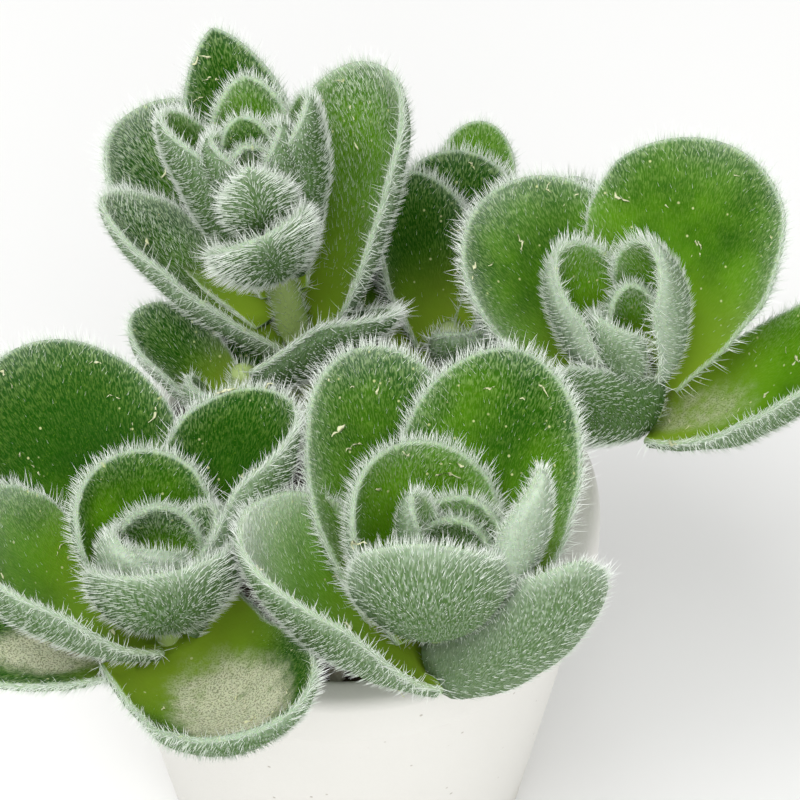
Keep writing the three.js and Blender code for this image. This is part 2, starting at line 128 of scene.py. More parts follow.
# Stems
STEM_FOOT_Z = 28
STEM_STRAIGHT_Z = 43
STEM_RISE = 6.5  # straight pull at the soil, in millimetres and as a share of the way up
STEM_RISE_SHARE = 0.7
STEM_ARRIVE = 3  # the same where the stem meets the axis of its rosette
STEM_SWELL = 1.12
STEM_TAPER = 0.55
TOP_BUD = 1.2
STEM_SIDES = 24
FOOT_STEPS, BEND_STEPS, TOP_STEPS = 8, 32, 13
WOOL_FROM_Z = 44
WOOL_FADE = 5

# Pot and soil
CORNER_STEPS = 5
DRAIN_HOLES = 4
DRAIN_SIDES = 32
SOIL_SIDES = 112
SOIL_RINGS = 56
SOIL_GAP = 0.3  # between the soil and the wall, and wider at the foot
SOIL_FOOT_GAP = 0.6
SOIL_WALL_Z = 39.3  # where the soil leaves the wall
SOIL_EDGE_Z = 41
SOIL_MOUND = 1.6
SOIL_ROUGH_Z = 40.5  # the soil is uneven above this
CLOD_PACES = (400, 700, 1100, 1700, 2600)  # of the uneven soil's waves, in radians a metre
CLOD_WAVES = 6
CLOD_SLOPE = 0.036  # greatest slope of a wave

# Seeds of what is random; the number of the rosette is added to those of its pieces
LEAF_SEED, WOOL_SEED, SCUFF_SEED = 100, 40, 70
STEM_SEED, STEM_WOOL_SEED = 11, 10
SOIL_SEED, GRAIN_SEED = 5, 3

DOT_RADIUS = (0.06, 0.13)  # of a speck, to its soft edge, in cells

# Colours that are mixed into the ones that can be set
DOT_GREEN = (0.24, 0.40, 0.03)
DUST_SHADE = (0.06, 0.08, 0.02)
PALE_CORK = (0.80, 0.80, 0.58)
DULL_SHOOT = (0.35, 0.42, 0.18)
DARK_BARK = (0.03, 0.02, 0.01)
SANDY_CLAY = (0.62, 0.58, 0.50)
DAMP_CLAY = (0.50, 0.46, 0.38)
BLACK = (0, 0, 0)
FIBRE_BROWN = (0.22, 0.15, 0.09)
CRUMB_BROWN = (0.25, 0.19, 0.12)
GRAIN_SHADE = (0.05, 0.04, 0.03)
FLOOR_SHADE = (0.85, 0.85, 0.84)


def leaf(
    h, az, length, width, lean, cup=45, blunt=2, wide=0.6, base=0.55, roll=0,
    dust=0, dust_at=0.52, tone=0, coat=1, frost=0, pale=0, bold=0,
):
    """A leaf: height of its root on the axis, compass direction, length, width and how far its
    midrib leans from the axis at the root and at the tip. Its form: degrees that the section
    curls through from the midrib to a margin, bluntness of the tip, where it is widest, width of
    its root and turn about its midrib. Its looks: dust and where that lies, lightness, which is
    partly its own colour and partly painted light and shade, hairs on the upper face, frost in
    from the margin on that side, down and coarse hairs underneath."""
    return SimpleNamespace(**locals())


def shoot(at, lean, root, stem, coat, tone, leaves, heart=()):
    """A rosette on its stem: middle of the rosette, lean of its axis and which way, place of the
    stem in the soil, radius of the stem, hairs on the upper faces, lightness, which paints shade
    on the rosettes that sit in the shade of others, the grown leaves and the young ones"""
    return SimpleNamespace(**locals())


# Lightness: the low values of the middle and shaded rosettes are painted shade, and the raised values of
# single leaves are partly painted light
ROSETTES = {
    "front": shoot(
        at=(10, -27.9, 52), lean=(6, 60), root=(7, -16), stem=1.8, coat=0.5, tone=0.05,
        leaves=[
            leaf(1, 117, 31, 17.5, (48, 30), cup=30, base=0.45, frost=-0.12),
            leaf(0, 337, 24.5, 10, (56, 0), cup=60, blunt=1.5, roll=-55, base=1, pale=0.16, bold=-0.3),
            leaf(1.5, 71, 30.5, 18.4, (46, 24), cup=35, blunt=1.9),
            leaf(2, 184, 25.8, 21, (69, 26), cup=66, blunt=1.9, roll=1, tone=0.45, frost=-1.2),
            leaf(-3, 95, 17, 13, (80, 50), cup=40),
        ],
        heart=[
            leaf(5, 120, 19, 18, (50, 10), cup=60),
            leaf(9, 252, 16, 15.5, (58, -20), cup=45, roll=20, pale=0.04, bold=-0.3),
            leaf(8, 350, 22, 6, (37, -5), cup=75, blunt=1.4, roll=-15, pale=0.42),
            leaf(8, 70, 12, 12, (35, -5), cup=70, blunt=1.7, coat=2),
            leaf(9, 75, 10, 10, (25, -20), cup=70, blunt=1.7, coat=2.4),
            leaf(9, 165, 14, 5, (22, 0), cup=75, blunt=1.5, coat=2.4),
        ],
    ),
    "front_left": shoot(
        at=(-17, -24.5, 52), lean=(5, 100), root=(-11, -14), stem=1.8, coat=0.25, tone=-0.37,
        leaves=[
            leaf(1.5, 303, 25.3, 18, (102, 30), cup=55, base=0.9, roll=10, dust=1),
            leaf(3, 190, 25, 20, (72, 22), cup=58, blunt=1.9, roll=3, tone=0.55, frost=-1),
            leaf(2.5, 126, 30, 22, (64, 38), cup=25, base=0.45, frost=-0.12),
            leaf(3, 42, 24.4, 20.5, (53, 28), cup=88, roll=-19),
            leaf(0.5, 190, 19, 10, (90, 76), cup=20, dust=1),
            leaf(-2.5, 100, 17, 13, (80, 50), cup=40),
        ],
        heart=[
            leaf(6, 115, 14.5, 15.5, (50, 10), cup=60),
            leaf(6.5, 289, 14, 18, (60, 0), cup=70, blunt=1.9, bold=0.25),
            leaf(7.5, 95, 8.5, 10, (44, -18), cup=70, blunt=1.8, pale=0.25, coat=3.6),
            leaf(7.5, 15, 10.5, 7.5, (53, -2), cup=72, blunt=1.5, pale=0.3, coat=3.6),
            leaf(8, 222, 9.5, 9.5, (48, -12), cup=75, blunt=1.7, pale=0.3),
            leaf(8.5, 262, 7.5, 7, (33, -12), cup=75, blunt=1.7, pale=0.3),
        ],
    ),
    "right": shoot(
        at=(31, 2.2, 57), lean=(8, 160), root=(14, 5), stem=1.8, coat=0.25, tone=0.1,
        leaves=[
            leaf(-1, 345, 26, 16, (82, 28), cup=50, blunt=1.8, dust=0.6, dust_at=0.1, tone=0.3),
            leaf(-0.8, 205, 21, 16.5, (69, 40), cup=50, blunt=1.8, roll=50, base=0.9, bold=1),
            leaf(3, 58, 25, 22, (52, 38), cup=30, wide=0.62, base=0.3, frost=0.16),
            leaf(3, 136, 24, 20, (58, 35), cup=32, blunt=2.1, coat=1.5, frost=-0.25),
            leaf(-2.5, 105, 14, 9, (85, 55), cup=40),
        ],
        heart=[
            leaf(6, 160, 16, 12, (52, -8), cup=75, blunt=1.9, pale=0.25, coat=2.4),
            leaf(6, 25, 15.5, 11, (30, -20), cup=75, blunt=1.9, pale=0.25, coat=2.4),
            leaf(6.5, 216, 8.8, 6.5, (33, -4), cup=75, blunt=1.5, roll=10, pale=0.15, bold=0.5),
            leaf(6.5, 90, 9.8, 6, (7, -12), cup=85, blunt=1.5, coat=3.6),
        ],
    ),
    "back_left": shoot(
        at=(-5, 10.7, 60), lean=(10, 165), root=(-4, 9), stem=1.7, coat=1.2, tone=-0.1,
        leaves=[
            leaf(0, 34, 29, 17, (45, 20), cup=50, blunt=2.1, wide=0.71, base=0.65, tone=0.5, frost=0.12),
            leaf(-0.5, 173, 24.5, 10.5, (51, 23), cup=50, blunt=1.5, roll=3, base=0.9, frost=-0.15),
            leaf(2, 133, 25.5, 16, (62, 36), cup=45, blunt=2.1, wide=0.72, base=0.45, frost=-0.1),
            leaf(4, 102, 28, 12.5, (55, 22), cup=45, blunt=1.25, wide=0.5, base=0.35, coat=0.3),
        ],
        heart=[
            leaf(8, 34, 20, 8.5, (33, 3), cup=85, blunt=1.6, roll=-36, coat=0.35, bold=0.9),
            leaf(8, 154, 20.5, 9.5, (37, 7), cup=88, blunt=1.7, roll=34, coat=0.35, bold=0.9),
            leaf(10, 92, 18, 9, (40, 15), cup=60, blunt=1.5, coat=0.45),
            leaf(11.5, 278, 12.5, 11.5, (66, 10), cup=65, blunt=1.8, roll=15, bold=0.8),
            leaf(13, 155, 12.5, 6, (26, -5), cup=88, blunt=1.8, roll=36, coat=0.35, bold=0.9),
            leaf(13, 35, 12.5, 6, (28, -5), cup=85, blunt=1.8, roll=-36, coat=0.35, bold=0.9),
            leaf(14, 100, 11.5, 6.5, (25, 5), cup=70, blunt=1.7, coat=0.3),
            leaf(16, 278, 10, 7, (38, -10), cup=55, blunt=1.05, wide=0.35, bold=0.8),
            leaf(16, 110, 8, 6.5, (15, -20), cup=60, blunt=1.5),
        ],
    ),
    "middle": shoot(
        at=(11, 13, 52), lean=(10, 60), root=(7.5, 10.5), stem=2, coat=0.4, tone=-0.4,
        leaves=[
            leaf(0, 83, 25, 8.5, (50, 30), cup=30, wide=0.7, tone=0.8, coat=0.8),
            leaf(1, 145, 20, 16, (55, 30), cup=35),
            leaf(3, 300, 9, 10, (70, 10), cup=60),
            leaf(2, 92, 20, 14, (50, 22), cup=45, wide=0.65),
            leaf(2.5, 125, 18, 12, (48, 18), cup=50, blunt=1.8),
            leaf(4, 10, 9, 7, (45, 0), cup=70, blunt=1.8),
        ],
    ),
    "shaded": shoot(
        at=(-10, 3.5, 55), lean=(5, 90), root=(-9, -1), stem=2, coat=0.6, tone=-0.6,
        leaves=[
            leaf(5, 6, 16, 11, (75, 50), cup=50, blunt=1.4, roll=-40, bold=0.8),
            leaf(0, 150, 14, 9, (60, 50), cup=40, blunt=1.9),
            leaf(-1, 85, 10, 8, (70, 45), cup=50, blunt=1.9),
            leaf(2, 245, 9, 8, (65, 20), cup=60, blunt=1.9),
        ],
    ),
    "rear_left": shoot(
        at=(-8, 24, 50.5), lean=(20, 110), root=(-7, 16), stem=2, coat=0.6, tone=-0.1,
        leaves=[
            leaf(0, 110, 17, 13, (75, 40), cup=40),
            leaf(0, 175, 13, 12, (75, 40), cup=40),
            leaf(0, 20, 15, 12, (75, 40), cup=40),
            leaf(3, 150, 12, 10, (50, 10), cup=60, blunt=1.9),
            leaf(3, 60, 12, 10, (50, 10), cup=60, blunt=1.9),
            leaf(5, 100, 9, 7, (30, 0), cup=70, blunt=1.8),
        ],
    ),
    "rear_right": shoot(
        at=(26, 20, 51.5), lean=(25, 70), root=(14, 12), stem=2, coat=0.5, tone=0,
        leaves=[
            leaf(0, 80, 17, 13, (75, 40), cup=40),
            leaf(0, 155, 12, 10, (75, 45), cup=40),
            leaf(0, 350, 15, 12, (75, 40), cup=40),
            leaf(3, 120, 12, 10, (50, 10), cup=60, blunt=1.9),
            leaf(3, 30, 12, 10, (50, 10), cup=60, blunt=1.9),
            leaf(5, 80, 9, 7, (30, 0), cup=70, blunt=1.8),
        ],
    ),
}


def colour_property(name, description, default):
    return FloatVectorProperty(
        name=name, description=description, default=default, subtype="COLOR", size=3, min=0, max=1
    )


def number_property(name, description, default, **more):
    return FloatProperty(name=name, description=description, default=default, min=0, **more)


def length_property(name, description, millimetres):
    return number_property(name, description, millimetres * MM, unit="LENGTH")


class LeafSettings(PropertyGroup):
    """Sizes and colours of the leaves"""

    thickness: length_property("Thickness", "Greatest thickness of a leaf", 2.4)
    edge: length_property("Edge", "Thickness of the rounded margin", 0.7)
    ripple: length_property("Ripple", "Height of the slow waves in a blade", 0.12)
    rows: IntProperty(name="Rows", description="Rows of faces along a large leaf", default=28, min=6)
    columns: IntProperty(name="Columns", description="Faces across a large leaf", default=14, min=4)
    deep: colour_property("Deep green", "Darkest upper faces", (0.012, 0.078, 0.001))
    bright: colour_property("Bright green", "Lightest upper faces", (0.105, 0.280, 0.004))
    # Base green is partly painted light: brighter than the leaf's own base, against the shade in a
    # rosette's heart
    base: colour_property("Base green", "Yellow green near the stem", (0.310, 0.460, 0.035))
    under: colour_property("Under green", "Lower face", (0.042, 0.112, 0.010))
    silver: colour_property("Silver", "Down too fine to be single hairs", (0.58, 0.68, 0.55))
    frost: colour_property("Frost", "The same down on the upper faces", (0.30, 0.47, 0.09))
    cream: colour_property("Cream", "Specks of the pores", (0.62, 0.66, 0.32))
    dust: colour_property("Dust", "Dusty patches on the lowest leaves", (0.66, 0.68, 0.48))


class HairSettings(PropertyGroup):
    """Sizes and colours of the hairs"""

    down_length: length_property("Down length", "Length of the hairs on the faces", 1.15)
    down_width: length_property("Down width", "Width of the hairs on the faces", 0.084)
    margin_length: length_property("Margin length", "Length of the hairs on the margin", 1.75)
    margin_width: length_property("Margin width", "Width of the hairs on the margin", 0.10)
    upper_density: number_property("Upper density", "Hairs a square millimetre on upper faces", 3.5)
    lower_density: number_property("Lower density", "Hairs a square millimetre on lower faces", 3.9)
    margin_density: number_property("Margin density", "Hairs a square millimetre on margins", 8)
    root: colour_property("Root", "Colour of a hair near its root", (0.70, 0.80, 0.66))
    tip: colour_property("Tip", "Colour of a hair near its tip", (0.97, 0.98, 0.97))
    sunk: colour_property("Sunk", "Colour that shines through the short hairs", (0.38, 0.52, 0.24))


class PotSettings(PropertyGroup):
    """Sizes and colours of the pot, the soil and the stems"""

    wall: length_property("Wall", "Thickness of the pot's wall", 3)
    lip_height: length_property("Lip height", "Height of the band round the rim", 6)
    lip_proud: length_property("Lip proud", "How far the band stands out", 0.8)
    base_radius: length_property("Base radius", "Radius of the pot's foot", 20)
    drain_radius: length_property("Drain radius", "Radius of a drain hole", 2)
    drain_circle: length_property("Drain circle", "How far the drain holes are from the centre", 10)
    sides: IntProperty(name="Sides", description="Faces round the pot", default=128, min=16)
    clay: colour_property("Clay", "Colour of the pot", (0.80, 0.79, 0.75))
    speck: colour_property("Speck", "Colour of the specks in the clay", (0.42, 0.38, 0.32))
    soil: colour_property("Soil", "Colour of the peat", (0.030, 0.022, 0.015))
    grit: colour_property("Grit", "Colour of the pale grit", (0.42, 0.38, 0.31))
    grain_density: number_property("Grain density", "Grains a square millimetre on the soil", 0.7)
    grain_size: length_property("Grain size", "Usual size of a large grain", 1.5)
    bark: colour_property("Bark", "Old stem near the soil", (0.20, 0.14, 0.07))
    shoot: colour_property("Shoot", "Young stem under the leaves", (0.40, 0.53, 0.18))


class StageSettings(PropertyGroup):
    """Camera, lights and floor"""

    elevation: number_property(
        "Elevation", "Height of the camera over the horizon", math.radians(48), subtype="ANGLE"
    )
    distance: length_property("Distance", "From the camera to the middle of the plant", 350)
    target: FloatVectorProperty(
        name="Target", description="Point that the camera looks at",
        default=(6 * MM, -3 * MM, 64 * MM), subtype="XYZ", size=3,
    )
    lens: number_property("Lens", "Focal length", 157.5, unit="CAMERA")
    key: number_property("Key", "Strength of the large soft light", 2.8, unit="POWER")
    fill: number_property("Fill", "Strength of the light from the front", 3.4, unit="POWER")
    sky: number_property("Sky", "Strength of the light from all round", 0.50)
    floor_half: length_property("Floor", "From the middle of the floor to its edge", 3000)
    floor: colour_property("Floor colour", "Colour of the floor", (0.93, 0.93, 0.92))


class Wire:
    """An output of a node, used like a number in sums; a name in brackets picks another one."""

    def __init__(self, tree, node, key=0):
        self.tree = tree
        self.node = node
        self.socket = tree.socket(node.outputs, key) if node.outputs else None

    def __getitem__(self, key):
        return Wire(self.tree, self.node, key)

    def __add__(self, other):
        return self.tree.math("ADD", self, other)

    def __sub__(self, other):
        return self.tree.math("SUBTRACT", self, other)

    def __rsub__(self, other):
        return self.tree.math("SUBTRACT", other, self)

    def __mul__(self, other):
        return self.tree.math("MULTIPLY", self, other)

    def __pow__(self, other):
        return self.tree.math("POWER", self, other)

    __radd__ = __add__
    __rmul__ = __mul__

    def between(self, low, high):
        """0 at low, 1 at high and a smooth step from one to the other."""
        return self.tree.node(
            "ShaderNodeMapRange", {"interpolation_type": "SMOOTHSTEP"},
            {"Value": self, "From Min": low, "From Max": high},
        )


class Tree:
    """A node tree that is built in the script."""

    def __init__(self, group):
        self.group = group
        group.nodes.clear()

    def node(self, kind, settings=None, inputs=None):
        """Any node: its settings are set first, then the values or links of its sockets. It is
        given back as its first output."""
        node = self.group.nodes.new(kind)
        for name, value in (settings or {}).items():
            if name == "stops":
                set_stops(node.color_ramp, value)
            else:
                setattr(node, name, value)
        for key, value in (inputs or {}).items():
            self.feed(self.socket(node.inputs, key), value)
        return Wire(self, node)

    @staticmethod
    def socket(sockets, key):
        """The socket in use of that name, or the one at that index."""
        if isinstance(key, int):
            return sockets[key]
        return next(s for s in sockets if s.name == key and s.enabled)

    def feed(self, socket, value):
        if isinstance(value, Wire):
            self.group.links.new(value.socket, socket)
        elif socket.type == "RGBA" and len(value) == 3:
            socket.default_value = (*value, 1)
        else:
            socket.default_value = value

    def math(self, operation, first, second):
        return self.node("ShaderNodeMath", {"operation": operation}, {0: first, 1: second})

    def vector(self, operation, first, second):
        """Vector Math; a scale takes its number as second."""
        inputs = {0: first, 3 if operation == "SCALE" else 1: second}
        return self.node("ShaderNodeVectorMath", {"operation": operation}, inputs)

    def mix(self, factor, first, second):
        """A colour between two."""
        inputs = {"Factor": factor, "A": first, "B": second}
        return self.node("ShaderNodeMix", {"data_type": "RGBA"}, inputs)["Result"]

    def height(self, vector):
        return self.node("ShaderNodeSeparateXYZ", None, {"Vector": vector})["Z"]


class ShaderTree(Tree):
    """The nodes of a new material."""

    def __init__(self, name):
        self.material = bpy.data.materials.new(name)
        self.material.use_nodes = True
        super().__init__(self.material.node_tree)

    def surface(self, inputs):
        """Ends the tree with a shader that has these inputs, and gives the material."""
        shader = self.node("ShaderNodeBsdfPrincipled", None, inputs)
        self.node("ShaderNodeOutputMaterial", None, {"Surface": shader})
        return self.material

    def place(self):
        return self.node("ShaderNodeTexCoord")["Object"]

    def flat(self, name):
        """The place on a leaf laid flat, as that UV map draws it."""
        return self.node("ShaderNodeUVMap", {"uv_map": name})

    def attribute(self, name):
        return self.node("ShaderNodeAttribute", {"attribute_name": name})["Fac"]

    def noise(self, vector, size, detail=2.0, roughness=0.5, distortion=0.0):
        """Noise with features of about that size in metres."""
        return self.node("ShaderNodeTexNoise", None, {
            "Vector": vector, "Scale": 1 / size, "Detail": detail, "Roughness": roughness,
            "Distortion": distortion,
        })["Fac"]

    def specks(self, vector, size, channel, rarity):
        """A small soft dot in the middle of some cells of that size: a channel of a cell's own
        random colour picks it, between the two values of rarity."""
        cells = self.node("ShaderNodeTexVoronoi", None, {"Vector": vector, "Scale": 1 / size})
        dots = 1 - cells["Distance"].between(*DOT_RADIUS)
        colour = self.node("ShaderNodeSeparateColor", None, {"Color": cells["Color"]})
        return dots * colour[channel].between(*rarity)

    def bump(self, height, distance):
        return self.node("ShaderNodeBump", None, {"Height": height, "Distance": distance})


def set_stops(ramp, stops):
    while len(ramp.elements) < len(stops):
        ramp.elements.new(1)
    for element, (position, colour) in zip(ramp.elements, stops):
        element.position = position
        element.color = (*colour, 1)


def blend(first, second, share):
    """A colour between two plain ones"""
    return tuple(a + (b - a) * share for a, b in zip(first, second))


def leaf_surface(name, look, youth):
    """Fleshy green leaf; youth is how far the fine down covers the green"""
    tree = ShaderTree(name)
    place = tree.place()
    upper, along, silver, fuzz, dust, tone = map(
        tree.attribute, ("upper", "along", "silver", "fuzz", "dust", "tone")
    )
    mottle = tree.noise(place, 5 * MM, 3)
    grain = tree.noise(place, 0.5 * MM, 3, 0.6)

    # single hairs lie lengthways on the rays, too fine to be meshed
    lying = tree.vector("MULTIPLY", tree.flat("rays"), (1, 0.18, 1))
    fine = tree.noise(lying, 0.11 / UV_TILE, 1, distortion=0.15)
    coarse = tree.noise(lying, 0.18 / UV_TILE, 1, distortion=0.15)
    strokes = fine.between(0.47, 0.60) * 0.65 + coarse.between(0.50, 0.62) * 0.35

    # Painted light and shade: lighter towards the root and darker towards the tip, over the random
    # mottle
    light = (mottle - 0.5) * 1.2 + 0.85 + tone - along * 0.75
    flesh = tree.mix(light.between(0, 1), look.deep, look.bright)
    # Yellow green near the root: partly the leaf's own colour, partly painted light in the shaded heart
    # of the rosette
    flesh = tree.mix((1 - along.between(0, 0.6)) * 0.8, flesh, look.base)
    flesh = tree.mix(1 - upper.between(0.2, 0.8), flesh, look.under)
    dots = tree.noise(place, 0.2 * MM, 1).between(0.62, 0.74)
    flesh = tree.mix(dots * 0.22, flesh, DOT_GREEN)
    veil = (silver + youth * (1 - upper)) * (0.7 + 0.6 * grain)
    flesh = tree.mix(veil.between(0, 1.3), flesh, look.silver)
    down = tree.mix(upper * (1.25 - fuzz), look.silver, look.frost)
    flesh = tree.mix(strokes * fuzz, flesh, down)
    pores = tree.specks(tree.flat("blade"), 1.4 / UV_TILE, "Red", (0.35, 0.4)) * upper
    flesh = tree.mix(pores * 0.85, flesh, look.cream)

    scurf = dust * (tree.noise(place, 2 * MM, 5, 0.7) * 1.8 + 0.1)
    crumbs = tree.noise(place, 0.17 * MM, 2).between(0.40, 0.52)
    dusty = tree.mix(crumbs, blend(look.dust, DUST_SHADE, 0.6), look.dust)
    flesh = tree.mix(scurf.between(0.25, 0.95) * 0.95, flesh, dusty)
    return tree.surface({
        "Base Color": flesh,
        "Roughness": 0.50 + 0.25 * veil + 0.3 * dust + 0.1 * (grain - 0.5),
        "Normal": tree.bump(grain * 0.5 + mottle * 0.8 + scurf * 0.4 + strokes * fuzz, 0.09 * MM),
        "Subsurface Weight": 0.18,
        "Subsurface Radius": (0.35, 1.0, 0.12),
        "Subsurface Scale": 1.1 * MM,
        "Specular IOR Level": 0.04,
    })


def hair_surface(look):
    """Pale hair, greener at the root and where it is short"""
    tree = ShaderTree("leaf_hair")
    pale = (tree.attribute("rise") * 0.8 + tree.attribute("tint") * 0.35).between(0, 0.9)
    colour = tree.mix(pale, look.root, look.tip)
    short = tree.attribute("upper").between(0.7, 1) * (1.1 - tree.attribute("fuzz"))
    colour = tree.mix(short * 0.65, colour, look.sunk)
    return tree.surface({"Base Color": colour, "Roughness": 0.55, "Specular IOR Level": 0.35})


def scuff_surface(look):
    """Dry cream corky marks"""
    tree = ShaderTree("corky_scuff")
    fleck = tree.noise(tree.place(), 0.4 * MM, 2)
    colour = tree.mix(fleck, look.cream, PALE_CORK)
    return tree.surface(
        {"Base Color": colour, "Roughness": 0.8, "Normal": tree.bump(fleck, 0.05 * MM)}
    )


def stem_surface(look):
    """Green shoot that turns to brown bark towards the soil"""
    tree = ShaderTree("stem_skin")
    place = tree.place()
    blotch = tree.noise(place, 2 * MM, 4, 0.6)
    cracks = tree.noise(tree.vector("MULTIPLY", place, (1, 1, 0.35)), 0.6 * MM, 3)
    aged = 1 - (tree.height(place) + (blotch - 0.5) * 6 * MM).between(40 * MM, 48 * MM)
    fresh = tree.mix(blotch, look.shoot, blend(look.shoot, DULL_SHOOT, 0.35))
    old = tree.mix(cracks, blend(look.bark, DARK_BARK, 0.5), look.bark)
    return tree.surface({
        "Base Color": tree.mix(aged, fresh, old),
        "Roughness": 0.5 + 0.35 * aged,
        "Normal": tree.bump(cracks * (0.3 + aged) + blotch * 0.4, 0.15 * MM),
    })


def pot_surface(look):
    """Matte fired clay with a few specks and faint turning marks"""
    tree = ShaderTree("fired_clay")
    place = tree.place()
    cloud = tree.noise(place, 14 * MM, 3)
    sand = tree.noise(place, 0.35 * MM, 2)
    turned = tree.noise(tree.vector("MULTIPLY", place, (0.05, 0.05, 1)), 1.2 * MM, 2)
    speck = tree.specks(place, 1.7 * MM, "Green", (0.6, 0.66))
    # Darker in patches towards the foot
    damp = (1 - tree.height(place).between(1 * MM, 9 * MM)) * cloud.between(0.35, 0.7) * 0.25
    clay = tree.mix(0.12 * cloud, look.clay, SANDY_CLAY)
    clay = tree.mix(damp, clay, DAMP_CLAY)
    return tree.surface({
        "Base Color": tree.mix(speck * 0.75, clay, look.speck),
        "Roughness": 0.52 + 0.2 * sand,
        "Normal": tree.bump(sand * 0.4 + turned * 0.5 + speck * 0.4, 0.08 * MM),
    })


def soil_surface(look):
    """Dark peat with fibres and crumbs"""
    tree = ShaderTree("peat")
    place = tree.place()
    clods = tree.noise(place, 2.5 * MM, 5, 0.7)
    crumbs = tree.noise(place, 0.5 * MM, 3, 0.6)
    brown = tree.mix(clods, blend(look.soil, BLACK, 0.55), blend(look.soil, FIBRE_BROWN, 0.35))
    return tree.surface({
        "Base Color": tree.mix(crumbs.between(0.62, 0.8) * 0.5, brown, CRUMB_BROWN),
        "Roughness": 0.85 + 0.15 * crumbs,
        "Normal": tree.bump(clods + crumbs * 0.5, 0.5 * MM),
    })


def grain_surface(look):
    """Grains of bark, grit and perlite, one colour each, darker in the shade of the leaves"""
    tree = ShaderTree("grit_grain")
    place = tree.place()
    flat = tree.vector("MULTIPLY", place, (1, 1, 0))
    from_centre = tree.node("ShaderNodeVectorMath", {"operation": "LENGTH"}, {0: flat})
    # Painted shade: grains near the middle, under the leaves, take the darker colours of the ramp
    open_ground = from_centre["Value"].between(16 * MM, 23 * MM)
    tint = tree.attribute("tint") * (0.6 + 0.4 * open_ground)
    rough = tree.noise(place, 0.5 * MM, 3)
    stops = [
        (0, (0.020, 0.013, 0.009)), (0.60, (0.08, 0.052, 0.033)), (0.78, (0.20, 0.165, 0.12)),
        (0.92, tuple(look.grit)), (1, (0.62, 0.60, 0.54)),
    ]
    ramp = tree.node("ShaderNodeValToRGB", {"stops": stops}, {"Fac": tint})
    colour = tree.mix(rough * 0.4, ramp, GRAIN_SHADE)
    return tree.surface(
        {"Base Color": colour, "Roughness": 0.85, "Normal": tree.bump(rough, 0.15 * MM)}
    )


def floor_surface(look):
    """Pale paper"""
    tree = ShaderTree("studio_floor")
    colour = tree.mix(tree.noise(tree.place(), 40 * MM, 2) * 0.06, look.floor, FLOOR_SHADE)
    return tree.surface({"Base Color": colour, "Roughness": 0.9, "Specular IOR Level": 0.1})


def unit(vectors):
    return vectors / np.linalg.norm(vectors, axis=-1, keepdims=True)


def capped(rings, *ends):
    """A closed surface through rings of points: its points and faces. An end is the number of its
    ring and the point in its middle."""
    points = np.vstack([*rings, *(middle for _, middle in ends)])
    sides = len(rings[0])
    faces = []
    for i in range(len(rings) - 1):
        for k in range(sides):
            a, b = i * sides + k, i * sides + (k + 1) % sides
            faces.append((a, b, b + sides, a + sides))
    for k in range(sides):
        for middle, (ring, _) in enumerate(ends, len(points) - len(ends)):
            a, b = ring * sides + k, ring * sides + (k + 1) % sides
            faces.append((a, b, middle) if ring else (b, a, middle))
    return points, faces


def axes_of(lean, az):
    """Directions of a rosette: its axis, the side towards +X and the side away from the front"""
    lean, az = math.radians(lean), math.radians(az)
    out = math.sin(lean)
    axis = np.array([out * math.cos(az), out * math.sin(az), math.cos(lean)])
    side = unit(np.array([1.0, 0, 0]) - axis * axis[0])
    return axis, side, np.cross(axis, side)


def half_width(s, spec):
    """Half width at s along a leaf, as a share of the greatest"""
    swell = np.sin(np.clip(s / spec.wide, 0, 1) * math.pi / 2) ** LEAF_SWELL
    t = np.clip((s - spec.wide) / (1 - spec.wide), 0, 1)
    return np.where(
        s <= spec.wide, spec.base + (1 - spec.base) * swell, (1 - t * t) ** (1 / spec.blunt)
    )


def midrib(rosette, spec, s):
    """Points of the midrib at s, with the directions along it, off its upper face and across it"""
    axis, side, back = axes_of(*rosette.lean)
    az = math.radians(spec.az)
    out = side * math.cos(az) + back * math.sin(az)
    fine = np.linspace(0, 1, MIDRIB_STEPS + 1)
    lean = np.radians(spec.lean[0] + (spec.lean[1] - spec.lean[0]) * fine)[:, None]
    step = (np.cos(lean) * axis + np.sin(lean) * out) * spec.length / MIDRIB_STEPS
    path = np.vstack([np.zeros(3), np.cumsum((step[1:] + step[:-1]) / 2, axis=0)])
    start = np.array(rosette.at) + axis * spec.h + out * LEAF_ROOT
    points = start + np.stack([np.interp(s, fine, path[:, k]) for k in range(3)], axis=-1)
    lean = np.interp(s, fine, lean[:, 0])[:, None]
    along = np.cos(lean) * axis + np.sin(lean) * out
    up = np.sin(lean) * axis - np.cos(lean) * out
    across = np.cross(along, up)
    cos, sin = math.cos(math.radians(spec.roll)), math.sin(math.radians(spec.roll))
    return points, along, up * cos + across * sin, across * cos - up * sin


def is_large(spec):
    return spec.width * spec.length >= LARGE_LEAF ** 2


def ripples(s, v, length, draw):
    """Slow waves in a blade"""
    first, second, third = draw.uniform(0, 6, 3)
    quick = np.sin(s * length * RIPPLE_PACE + first)[:, None] * np.cos(v * RIPPLE_BEND + second)
    slow = np.sin(s[:, None] * length * RIPPLE_PACE / 2 + RIPPLE_SLANT * v + third)
    return quick + SLOW_RIPPLE * slow


